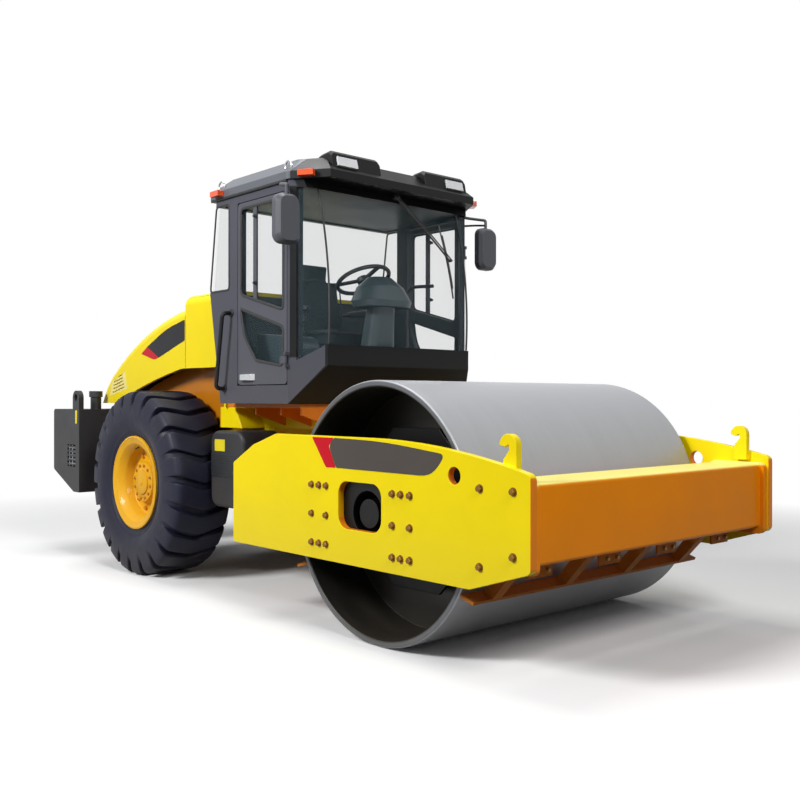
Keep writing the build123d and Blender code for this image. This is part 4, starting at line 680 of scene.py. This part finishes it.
class ROLLER_OT_finishes(bpy.types.Operator):
    """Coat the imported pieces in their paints, steel, rubber, plastic and glass"""

    bl_idname = "roller.finishes"
    bl_label = "Finishes"

    def execute(self, context):
        for name, colour, mottle, rough, grain, nodes, more in LOOKS:
            finish(name, colour, mottle, rough, grain, nodes.split(), **more)
        for node in NODES:
            if node not in SHARP_NODES:
                soften(node, THIN_ROUND if node in THIN_NODES else context.scene.roller_sizes.edge_round)
        return {"FINISHED"}


# radius and distance outward of the rim: back plate, barrel, flange, dish, disc, hub case and cap
RIM_PROFILE = [
    (0.150, 0.020), (0.285, 0.020), (0.296, 0.010), (0.296, -0.215), (0.340, -0.222), (0.372, -0.228),
    (0.376, -0.212), (0.366, -0.200), (0.318, -0.196), (0.318, 0.196), (0.366, 0.200), (0.376, 0.212),
    (0.374, 0.226), (0.362, 0.229), (0.352, 0.222), (0.322, 0.220), (0.312, 0.214), (0.276, 0.170),
    (0.268, 0.158), (0.264, 0.102), (0.256, 0.092), (0.248, 0.090), (0.196, 0.090), (0.184, 0.094),
    (0.168, 0.106), (0.163, 0.138), (0.158, 0.146), (0.152, 0.148), (0.106, 0.148), (0.102, 0.150),
    (0.099, 0.159), (0.094, 0.162), (0.030, 0.162), (0.028, 0.166), (0.014, 0.168),
]
# rings of wheel nuts: count, radius, distance outward of their seat, width across flats
NUT_RINGS = ((10, 0.222, 0.09, 0.030), (12, 0.134, 0.148, 0.020))
# angle of each ring's first nut from the top, in radians
NUT_START = 0.2
# the valve's stem, from the wheel's middle
VALVE_STEM = np.array([(0.0, 0.150, 0.285), (0.0, 0.175, 0.283), (0.0, 0.198, 0.276), (0.0, 0.21, 0.268)])


class ROLLER_OT_tyres(bpy.types.Operator):
    """Make the lugged rear tyres, their dished rims, nuts and valves"""

    bl_idname = "roller.tyres"
    bl_label = "Tyres"

    def execute(self, context):
        sizes = context.scene.roller_sizes
        for name, side, axis in SIDES:
            body = f"rear_wheel_{name}"
            centre = np.array((WHEEL_X, side * WHEEL_Y, WHEEL_Z))
            tyre = place(f"tyre_{name}", tyre_form(sizes, centre), "tyre_rubber", body)
            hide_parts(f"rear_tyre_{name}")
            dish = tiled(turned(RIM_PROFILE, 96, axis), [centre])
            rim = place(f"rim_{name}", dish, "rim_enamel", body)
            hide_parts(f"rear_rim_{name}")
            rings = []
            for count, radius, lift, across in NUT_RINGS:
                turn = np.linspace(0, 2 * np.pi, count, endpoint=False) + NUT_START
                reach = np.full(count, side * lift)
                seats = np.stack([radius * np.sin(turn), reach, radius * np.cos(turn)], 1) + centre
                rings.append(tiled(hex_bolt(across, axis), seats))
            place(f"wheel_nuts_{name}", gather(rings), "wheel_nut", body)
            stem = smooth_path(VALVE_STEM * np.array([1, side, 1]) + centre, 4)
            place(f"tyre_valve_{name}", tube(stem, 0.006, 8), "black_rubber", body)
        return {"FINISHED"}


# X and Z of the plate bolts: a group each side of the window, then those of the front beam
PLATE_BOLTS = np.array(
    [(x, z) for x in (1.254, 1.325, 1.395) for z in (0.902, 0.557)] + [(1.254, 0.729), (1.395, 0.728)]
    + [(x, z) for x in (1.983, 2.050, 2.123) for z in (0.898, 0.552)] + [(1.983, 0.725), (2.123, 0.725)]
    + [(2.632, 0.972), (2.85, 0.971), (2.85, 0.658), (2.632, 0.584)]
)
# Y of the scraper's arms, X of a pad's back and front, and the bolts on each pad
SCRAPER_ARMS = (-0.886, -0.282, 0.282, 0.886)
PAD_BACK, PAD_FRONT = 2.700, 2.714
PAD_BOLT_STEPS, PAD_BOLT_Z, PAD_BOLT = (0.05, 0.14), 0.532, 0.022


class ROLLER_OT_bolts(bpy.types.Operator):
    """Set the bolts of the side plates and scrapers"""

    bl_idname = "roller.bolts"
    bl_label = "Bolts"

    def execute(self, context):
        across = context.scene.roller_sizes.plate_bolt
        for name, side, axis in SIDES:
            faces = np.full(len(PLATE_BOLTS), side * PLATE_FACE)
            seats = np.stack([PLATE_BOLTS[:, 0], faces, PLATE_BOLTS[:, 1]], 1)
            bolts = tiled(hex_bolt(across, axis), seats)
            place(f"plate_bolts_{name}", bolts, "zinc_bolt", "front_frame")
        pad = rectangle((-0.02, 0.500), (0.18, 0.612), 0.008, 3)
        pads = tiled(prism(pad, "x", PAD_BACK, PAD_FRONT), [(0, y, 0) for y in SCRAPER_ARMS])
        place("scraper_pads", pads, "scraper_painted_shade", "front_frame", False, 0.002)
        seats = [(PAD_FRONT, y + step, PAD_BOLT_Z) for y in SCRAPER_ARMS for step in PAD_BOLT_STEPS]
        bolts = tiled(hex_bolt(PAD_BOLT, "x"), seats)
        place("scraper_bolts", bolts, "zinc_bolt", "front_frame")
        return {"FINISHED"}


# outlines of the films in X and Z, and the radius of each of their corners
PLATE_STRIPE = [(1.255, 1.187), (1.468, 1.187), (1.418, 1.139), (1.484, 1.013), (1.392, 1.011)]
PLATE_PANEL = [(1.470, 1.187), (1.90, 1.180), (2.392, 1.130), (2.29, 1.010), (1.486, 1.013), (1.420, 1.139)]
PLATE_PANEL_RADII = (0.01, 0.2, 0.05, 0.09, 0.012, 0.03)
HOOD_PANEL = [(-1.106, 2.062), (-1.106, 1.892), (-1.544, 1.765), (-1.753, 1.864), (-1.42, 2.0)]
HOOD_PANEL_RADII = (0.012, 0.012, 0.004, 0.004, 0.15)
HOOD_STRIPE = [(-1.753, 1.864), (-1.544, 1.765), (-1.624, 1.748), (-1.86, 1.806)]
HOOD_STRIPE_RADII = (0.004, 0.004, 0.03, 0.012)
# how far a film or plate on a face sinks in, and how far a film stands out
SUNK, FILM = 0.002, 0.0012


class ROLLER_OT_films(bpy.types.Operator):
    """Lay the plain coloured films on the side plates and hood"""

    bl_idname = "roller.films"
    bl_label = "Films"

    def execute(self, context):
        for film, outline, radius, face, coat, body in (
            ("plate_stripe", PLATE_STRIPE, 0.012, PLATE_FACE, "stripe_film", "front_frame"),
            ("plate_panel", PLATE_PANEL, PLATE_PANEL_RADII, PLATE_FACE, "panel_film", "front_frame"),
            ("hood_panel", HOOD_PANEL, HOOD_PANEL_RADII, HOOD_FACE, "hood_film", "hood"),
            ("hood_stripe", HOOD_STRIPE, HOOD_STRIPE_RADII, HOOD_FACE, "stripe_film", "hood"),
        ):
            shape = prism(rounded(outline, radius), "y", face - SUNK, face + FILM)
            for name, side, _ in SIDES:
                place(f"{film}_{name}", flipped(shape, side), coat, body, smooth=False)
        return {"FINISHED"}


# X and Z of the side windows' corners
UPPER_PANE = [(-0.030, 2.165), (0.498, 2.022), (0.498, 2.785), (-0.030, 2.785)]
QUARTER_PANE = [(-0.19, 2.215), (-0.19, 2.845), (-0.366, 2.845), (-0.452, 2.215)]
# foot and top of the windscreen's corner, its Y and how far the seal's middle lies behind its front
CORNER_LOW, CORNER_HIGH, CORNER_Y, CORNER_BACK = 1.786, 2.845, 0.664, 0.013


def lower_pane():
    """The swept lower window: an arc from the rear top to the foot, then straight edges."""
    sweep = smooth_path([(-0.028, 2.062), (-0.002, 1.925), (0.04, 1.835), (0.17, 1.685)], 6)
    corners = [(0.17, 1.685), (0.49, 1.64), (0.498, 1.908), (-0.028, 2.062)]
    return np.concatenate([sweep, rounded(corners, 0.04, 6)[6:18]])


class ROLLER_OT_seals(bpy.types.Operator):
    """Run rubber seals round the windows and along the glass corners"""

    bl_idname = "roller.seals"
    bl_label = "Seals"

    def execute(self, context):
        width = context.scene.roller_sizes.seal_width
        for name, side, _ in SIDES:
            upper = frame_strip(rounded(UPPER_PANE, 0.045, 7), CAB_FACE, width, 0.006, side)
            lower = frame_strip(lower_pane(), CAB_FACE, width, 0.006, side)
            place(f"door_seals_{name}", gather([upper, lower]), "black_rubber", f"door_{name}")
            quarter = frame_strip(rounded(QUARTER_PANE, 0.03, 5), CAB_FACE, width * 0.7, 0.004, side)
            place(f"quarter_seal_{name}", quarter, "black_rubber")
            z = np.linspace(CORNER_LOW, CORNER_HIGH, 30)
            corner = tube(np.stack([screen_x(z) - CORNER_BACK, np.full(30, side * CORNER_Y), z], 1), 0.007, 8)
            place(f"screen_corner_{name}", corner, "black_rubber")
        return {"FINISHED"}


# height of the wiper's pivot, Y and Z of the joint between arms and blade, and both turned profiles
PIVOT_Z = 2.885
JOINT_Y, JOINT_Z = 0.478, 2.455
WIPER_POST = [
    (0.026, -0.03), (0.026, 0.018), (0.022, 0.024), (0.010, 0.026), (0.008, 0.036), (0.005, 0.037),
]
WIPER_JOINT = [(0.011, -0.018), (0.011, 0.010), (0.008, 0.014), (0.004, 0.014)]


class ROLLER_OT_wiper(bpy.types.Operator):
    """Make the windscreen wiper: two arms side by side, a blade and its pivots"""

    bl_idname = "roller.wiper"
    bl_label = "Wiper"

    def execute(self, context):
        shapes = []
        t = np.linspace(0, 1, 12)
        z = PIVOT_Z - 0.43 * t
        for start, radius in ((0.02, 0.007), (0.05, 0.005)):
            shapes.append(tube(np.stack([screen_x(z) + 0.030, start + 0.45 * t, z], 1), radius, 8))
        t = np.linspace(0, 1, 16)
        y, z = 0.425 + 0.07 * t, 2.72 - 0.55 * t
        shapes.append(tube(np.stack([screen_x(z) + 0.012, y, z], 1), 0.0065, 6))
        shapes.append(tube(np.stack([screen_x(z) + 0.024, y, z], 1)[2:-2], 0.005, 6))
        shapes.append(tiled(turned(WIPER_POST, 20, "x"), [(screen_x(PIVOT_Z) + 0.012, 0.035, PIVOT_Z)]))
        shapes.append(tiled(turned(WIPER_JOINT, 14, "x"), [(screen_x(JOINT_Z) + 0.028, JOINT_Y, JOINT_Z)]))
        wiper = place("wiper_arms", gather(shapes), "black_plastic")
        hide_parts("wiper")
        return {"FINISHED"}


# radius and height of a handrail's foot and of a window catch, with their places in X and Z
RAIL_FOOT = [(0.030, -0.003), (0.030, 0.004), (0.027, 0.007), (0.014, 0.009), (0.010, 0.010)]
RAIL_FEET = ((-0.16, 2.04), (-0.25, 1.49))
CATCH = [(0.015, -0.003), (0.015, 0.006), (0.011, 0.010), (0.011, 0.022), (0.009, 0.025), (0.004, 0.026)]
CATCHES = ((0.17, 2.706), (0.17, 2.234))
# heights of the step grate's bars, X of its posts, and heights of the tank's tread ribs
GRATE_ROWS = 0.825 + 0.0375 * np.arange(5)
GRATE_POSTS = (-2.634, -2.565, -2.496)
TREAD_ROWS = 0.842 + 0.019 * np.arange(9)
# middle of a mirror, its half width and half height, and X of its back and front
MIRROR_Y, MIRROR_Z = 0.96, 2.60
MIRROR_HALF, MIRROR_TALL = 0.078, 0.148
MIRROR_BACK, MIRROR_FRONT = 0.6565, 0.664


class ROLLER_OT_fittings(bpy.types.Operator):
    """Fit mirror faces, rail feet, window catches, roof gutters that also serve as painted shade lines, steps
    and reflectors
    """

    bl_idname = "roller.fittings"
    bl_label = "Fittings"

    def execute(self, context):
        for name, side, axis in SIDES:
            feet = tiled(turned(RAIL_FOOT, 24, axis), [(x, side * CAB_FACE, z) for x, z in RAIL_FEET])
            place(f"rail_feet_{name}", feet, "black_satin")
            catches = tiled(turned(CATCH, 18, axis), [(x, side * (CAB_FACE + 0.003), z) for x, z in CATCHES])
            place(f"window_catches_{name}", catches, "black_plastic", f"door_{name}")
            # a black rubber gutter under the roof band, which also stands in for the line of shade there:
            # partly painted shade
            x = np.linspace(-0.42, 0.55, 24)
            gutter = tube(np.stack([x, np.full(24, side * 0.858), np.full(24, 2.893)], 1), 0.009, 8)
            place(f"roof_gutter_and_shade_line_{name}", gutter, "black_rubber")

            reflector = rectangle((-2.475, 1.19), (-2.44, 1.31), 0.008, 4)
            shape = flipped(prism(reflector, "y", WEIGHT_FACE - SUNK, WEIGHT_FACE + 0.004), side)
            place(f"reflector_{name}", shape, "blank_film", bevel=0.001)

            back = WEIGHT_FACE - 0.031
            bars = [rectangle((-2.638, z - 0.009), (-2.492, z + 0.009), 0.003, 3) for z in GRATE_ROWS]
            posts = [rectangle((x - 0.008, 0.802), (x + 0.008, 0.998), 0.003, 3) for x in GRATE_POSTS]
            grate = [prism(bar, "y", back, WEIGHT_FACE - 0.006) for bar in bars]
            grate += [prism(post, "y", back, WEIGHT_FACE - 0.010) for post in posts]
            step = flipped(gather(grate), side)
            place(f"step_grate_{name}", step, "step_steel", smooth=False, bevel=0.0015)

            back = TANK_FACE - SUNK
            ribs = [rectangle((-0.484, z - 0.005), (-0.096, z + 0.005), 0.003, 3) for z in TREAD_ROWS]
            tread = [prism(rib, "y", back, TANK_FACE + 0.006) for rib in ribs]
            pad = rectangle((-0.492, 0.828), (-0.088, 1.010), 0.01, 4)
            tread.append(prism(pad, "y", back, TANK_FACE + 0.003))
            tread = flipped(gather(tread), side)
            place(f"tank_tread_{name}", tread, "black_plastic", smooth=False, bevel=0.001)
            label = rectangle((-0.444, 1.022), (-0.303, 1.110), 0.006, 4)
            shape = flipped(prism(label, "y", back, TANK_FACE + 0.0015), side)
            place(f"tank_film_{name}", shape, "blank_film", smooth=False)

        for name, side, _ in SIDES:
            y = side * MIRROR_Y
            low, high = (y - MIRROR_HALF, MIRROR_Z - MIRROR_TALL), (y + MIRROR_HALF, MIRROR_Z + MIRROR_TALL)
            face = prism(rectangle(low, high, 0.055, 6), "x", MIRROR_BACK, MIRROR_FRONT)
            stay = smooth_path([(0.55, side * 0.845, 2.79), (0.62, side * 0.90, 2.792), (0.69, y, 2.79)], 5)
            place(f"mirror_stay_{name}", tube(stay, 0.008, 10), "black_satin")
            place(f"mirror_face_{name}", face, "mirror_face", smooth=False)
        core = prism(rectangle((-0.60, 1.39), (0.60, 1.62), 0.02, 4), "x", -2.19, -2.14)
        place("radiator_core", core, "cast_iron", smooth=False, bevel=0.004)
        return {"FINISHED"}


# size of the pads' cells, how far they start inside the solid and how far a point may then swell
SEAT_VOXEL, SEAT_SHRINK, SEAT_SWELL = 0.009, 0.009, 0.018
# frames and pressure of the swelling
CLOTH_FRAMES, CLOTH_PRESSURE = 20, 4
# height of the lower pad's piping, and the back pad's foot, rise, X at the foot and lean
PIPING_Z = 1.915
BACK_FOOT, BACK_RISE, BACK_X, BACK_LEAN = 1.935, 0.43, -0.188, 0.06


class ROLLER_OT_seat(bpy.types.Operator):
    """Swell the seat's pads with cloth pressure and sew their piping"""

    bl_idname = "roller.seat"
    bl_label = "Seat"

    def execute(self, context):
        scene = context.scene
        mesh = NODES["seat_cushions"].data.copy()
        grown = bmesh.new()
        grown.from_mesh(mesh)
        bmesh.ops.remove_doubles(grown, verts=grown.verts, dist=0.0001)
        grown.to_mesh(mesh)
        grown.free()
        pads = bpy.data.objects.new("seat_pads", mesh)
        scene.collection.objects.link(pads)
        remesh = pads.modifiers.new("remesh", "REMESH")
        remesh.mode = "VOXEL"
        remesh.voxel_size = SEAT_VOXEL
        seen = context.evaluated_depsgraph_get()
        mesh = bpy.data.meshes.new_from_object(pads.evaluated_get(seen))
        pads.modifiers.clear()
        pads.data = mesh
        count = len(mesh.vertices)
        start = np.empty(count * 3)
        normal = np.empty(count * 3)
        mesh.vertices.foreach_get("co", start)
        mesh.vertex_normals.foreach_get("vector", normal)
        start -= SEAT_SHRINK * normal
        mesh.vertices.foreach_set("co", start)
        mesh.update()
        cloth = pads.modifiers.new("cloth", "CLOTH")
        cloth.settings.quality = 4
        cloth.settings.use_pressure = True
        cloth.settings.uniform_pressure_force = CLOTH_PRESSURE
        cloth.settings.effector_weights.gravity = 0
        cloth.point_cache.frame_start = 1
        cloth.point_cache.frame_end = CLOTH_FRAMES
        for step in range(1, CLOTH_FRAMES + 1):
            scene.frame_set(step)
        swollen = pads.evaluated_get(context.evaluated_depsgraph_get()).data
        end = np.empty(count * 3)
        swollen.vertices.foreach_get("co", end)
        move = (end - start).reshape(-1, 3)
        length = np.linalg.norm(move, axis=1, keepdims=True)
        move *= np.minimum(1, SEAT_SWELL / np.maximum(length, 1e-9))
        pads.modifiers.clear()
        scene.frame_set(1)
        mesh.vertices.foreach_set("co", start + move.ravel())
        mesh.update()
        mesh.polygons.foreach_set("use_smooth", np.ones(len(mesh.polygons), bool))
        mesh.materials.clear()
        mesh.materials.append(FINISHES["seat_cloth"])
        finer = pads.modifiers.new("finer", "SUBSURF")
        finer.levels = finer.render_levels = 1
        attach(pads, "rear_frame")
        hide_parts("seat_cushions")

        loop = rectangle((-0.30, -0.25), (0.188, 0.25), 0.06, 8)
        low = tube(np.column_stack([loop, np.full(len(loop), PIPING_Z)]), 0.006, 8, closed=True)
        loop = rectangle((-0.222, 1.97), (0.222, 2.345), 0.07, 8)
        lean = BACK_X - BACK_LEAN * (loop[:, 1] - BACK_FOOT) / BACK_RISE
        back = tube(np.column_stack([lean, loop]), 0.006, 8, closed=True)
        place("seat_piping", gather([low, back]), "black_rubber")
        return {"FINISHED"}


# X, Y and lean of each lever, heights of the levers' feet and tops, and a boot's radius and height
LEVERS = ((0.30, -0.60, 0.03), (0.26, -0.52, 0.02), (0.10, -0.56, 0.05))
LEVER_FOOT, LEVER_TOP = 1.84, 1.965
BOOT = [
    (0.034, -0.02), (0.034, 0.018), (0.024, 0.026), (0.027, 0.034), (0.017, 0.042), (0.019, 0.05),
    (0.009, 0.06),
]
# height of the armrests and Y of the grab rail
REST_Z, RAIL_Y = 2.10, 0.64


class ROLLER_OT_controls(bpy.types.Operator):
    """Fit the lever box, levers, armrests and the grab rail inside the cab"""

    bl_idname = "roller.controls"
    bl_label = "Controls"

    def execute(self, context):
        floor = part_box("seat_base")[0].z
        side_view = [(-0.12, floor), (0.36, floor), (0.40, 1.80), (0.34, 1.86), (-0.12, 1.90)]
        box = prism(rounded(side_view, 0.03, 5), "y", -0.66, -0.46)
        place("lever_box", box, "console_plastic", smooth=False, bevel=0.012)
        knob = cushion_form((0.042, 0.042, 0.06), 0.8, 10, 16)
        shapes = []
        for x, y, lean in LEVERS:
            path = smooth_path([(x, y, LEVER_FOOT), (x + lean / 2, y, 1.90), (x + lean, y, LEVER_TOP)], 5)
            shapes += [tube(path, 0.006, 8), tiled(knob, [(x + lean, y, LEVER_TOP + 0.02)])]
            shapes.append(tiled(turned(BOOT, 18), [(x, y, LEVER_FOOT + 0.015)]))
        place("levers", gather(shapes), "black_plastic")
        pad = cushion_form((0.29, 0.06, 0.05), 0.4, 14, 28)
        shapes = []
        for _, side, _ in SIDES:
            shapes.append(tiled(pad, [(-0.09, side * 0.315, REST_Z)]))
            strut = [(-0.255, side * 0.20, 2.09), (-0.235, side * 0.27, 2.095), (-0.18, side * 0.31, REST_Z)]
            shapes.append(tube(smooth_path(strut, 5), 0.014, 10))
        place("armrests", gather(shapes), "black_plastic")
        path = [
            (0.12, RAIL_Y, floor), (0.12, RAIL_Y, 1.85), (0.12, RAIL_Y, 2.24), (0.145, RAIL_Y, 2.295),
            (0.20, RAIL_Y, 2.318), (0.40, RAIL_Y + 0.02, 2.312),
        ]
        rail = tube(smooth_path(path, 8), 0.014, 12)
        place("grab_rail", rail, "black_plastic")
        return {"FINISHED"}


def shown_rays(tree):
    """Share that is 1 for rays to the camera, in a gloss or through glass, and 0 for soft light."""
    seen = add(tree, "LightPath").outputs
    rays = {0: seen["Is Camera Ray"], 1: seen["Is Glossy Ray"]}
    shown = add(tree, "Math", rays, operation="MAXIMUM").outputs[0]
    rays = {0: shown, 1: seen["Is Transmission Ray"]}
    return add(tree, "Math", rays, operation="MAXIMUM").outputs[0]


# half the floor's width, its cells, and the distances over which it fades to white
FLOOR_HALF, FLOOR_CELLS = 40, 9
FADE_START, FADE_END = 4.0, 8.0
# the floor as seen, and as it lights the machine from below
FLOOR_SEEN, FLOOR_BOUNCE = (0.92, 0.92, 0.92, 1), (0.12, 0.12, 0.12, 1)
# the sky's soft light
SKY_COLOUR, SKY_STRENGTH = (0.93, 0.96, 1.0, 1), 0.13
WHITE = (1, 1, 1, 1)
# each light's name, place, aim, size and power
LIGHTS = (
    ("key_light", (-0.5, -9.0, 6.5), (0.2, 0, 1.0), 2.6, 940),
    ("front_light", (8.5, -2.5, 6.5), (0.8, 0, 1.0), 2.5, 420),
    ("top_light", (-1.0, 0.0, 9.0), (0, 0, 1.0), 4.0, 310),
    ("back_light", (-7.0, 6.0, 5.0), (-0.5, 0, 1.2), 3.0, 150),
)
CAMERA_PLACE, CAMERA_TURN, CAMERA_LENS = (5.874, -4.619, 1.412), (89.96, -0.06, 48.0), 43.04


class ROLLER_OT_stage(bpy.types.Operator):
    """Set the pale floor, the soft lights and the camera"""

    bl_idname = "roller.stage"
    bl_label = "Stage"

    def execute(self, context):
        scene = context.scene
        u = np.linspace(-FLOOR_HALF, FLOOR_HALF, FLOOR_CELLS)
        x, y = np.meshgrid(u, u, indexing="ij")
        points = np.stack([x, y, np.zeros_like(x)], axis=-1).reshape(-1, 3)
        mesh = bpy.data.meshes.new("floor")
        mesh.from_pydata(points.tolist(), [], grid_faces(FLOOR_CELLS, FLOOR_CELLS)[:, ::-1].tolist())
        floor = bpy.data.objects.new("floor", mesh)
        scene.collection.objects.link(floor)
        # painted studio floor: matt and pale, so that only the shadows show
        material = bpy.data.materials.new("pale_floor")
        material.use_nodes = True
        tree = material.node_tree
        shader = tree.nodes["Principled BSDF"]
        shader.inputs["Roughness"].default_value = 0.85
        shader.inputs["Specular IOR Level"].default_value = 0.1
        coords = add(tree, "TexCoord").outputs["Object"]
        distance = add(tree, "VectorMath", {0: coords}, operation="LENGTH").outputs["Value"]
        span = {"Value": distance, "From Min": FADE_START, "From Max": FADE_END}
        far = add(tree, "MapRange", span).outputs["Result"]
        white = add(tree, "Emission", {"Color": WHITE, "Strength": 1.0}).outputs[0]
        shown = shown_rays(tree)
        layers = {"Factor": shown, "A": FLOOR_BOUNCE, "B": FLOOR_SEEN}
        pale = add(tree, "Mix", layers, data_type="RGBA").outputs["Result"]
        tree.links.new(pale, shader.inputs["Base Color"])
        blend = add(tree, "Math", {0: far, 1: shown}, operation="MULTIPLY").outputs[0]
        mixed = add(tree, "MixShader", {0: blend, 1: shader.outputs[0], 2: white}).outputs[0]
        tree.links.new(mixed, tree.nodes["Material Output"].inputs["Surface"])
        mesh.materials.append(material)

        world = bpy.data.worlds.new("studio")
        world.use_nodes = True
        tree = world.node_tree
        tree.nodes.clear()
        light = add(tree, "Background", {"Color": SKY_COLOUR, "Strength": SKY_STRENGTH}).outputs[0]
        white = add(tree, "Background", {"Color": WHITE, "Strength": 1.0}).outputs[0]
        mixed = add(tree, "MixShader", {0: shown_rays(tree), 1: light, 2: white}).outputs[0]
        out = add(tree, "OutputWorld", {"Surface": mixed})
        out.is_active_output = True
        scene.world = world

        for name, spot, aim, size, power in LIGHTS:
            lamp = bpy.data.lights.new(name, "AREA")
            lamp.size = size
            lamp.energy = power
            holder = bpy.data.objects.new(name, lamp)
            holder.location = spot
            run = np.array(aim) - np.array(spot)
            flat = math.hypot(run[0], run[1])
            holder.rotation_euler = (math.pi / 2 + math.atan2(run[2], flat), 0, math.atan2(-run[0], run[1]))
            scene.collection.objects.link(holder)

        view = bpy.data.cameras.new("camera")
        view.lens = CAMERA_LENS
        view.sensor_width = 36
        camera = bpy.data.objects.new("camera", view)
        camera.location = CAMERA_PLACE
        camera.rotation_euler = [math.radians(angle) for angle in CAMERA_TURN]
        scene.collection.objects.link(camera)
        scene.camera = camera
        scene.view_settings.view_transform = "Standard"
        return {"FINISHED"}


class ROLLER_PT_panel(bpy.types.Panel):
    """Sidebar list of the dressing steps"""

    bl_idname = "ROLLER_PT_panel"
    bl_label = "Road roller"
    bl_space_type = "VIEW_3D"
    bl_region_type = "UI"
    bl_category = "Roller"

    def draw(self, context):
        for step in STEPS:
            self.layout.operator(step.bl_idname)
        for group in (context.scene.roller_sizes, context.scene.roller_colours):
            for name in group.__annotations__:
                self.layout.prop(group, name)


STEPS = (
    ROLLER_OT_finishes,
    ROLLER_OT_tyres,
    ROLLER_OT_bolts,
    ROLLER_OT_films,
    ROLLER_OT_seals,
    ROLLER_OT_wiper,
    ROLLER_OT_fittings,
    ROLLER_OT_seat,
    ROLLER_OT_controls,
    ROLLER_OT_stage,
)
CLASSES = (RollerSizes, RollerColours, *STEPS, ROLLER_PT_panel)


def register():
    """Register the classes and hang the settings on the scene."""
    for part in CLASSES:
        bpy.utils.register_class(part)
    bpy.types.Scene.roller_sizes = bpy.props.PointerProperty(type=RollerSizes)
    bpy.types.Scene.roller_colours = bpy.props.PointerProperty(type=RollerColours)


def unregister():
    """Take the settings off the scene and unregister the classes."""
    del bpy.types.Scene.roller_colours
    del bpy.types.Scene.roller_sizes
    for part in reversed(CLASSES):
        bpy.utils.unregister_class(part)


def main():
    """Dress the roller step by step."""
    register()
    bpy.ops.roller.finishes()
    bpy.ops.roller.tyres()
    bpy.ops.roller.bolts()
    bpy.ops.roller.films()
    bpy.ops.roller.seals()
    bpy.ops.roller.wiper()
    bpy.ops.roller.fittings()
    bpy.ops.roller.seat()
    bpy.ops.roller.controls()
    bpy.ops.roller.stage()


if __name__ == "__main__":
    main()
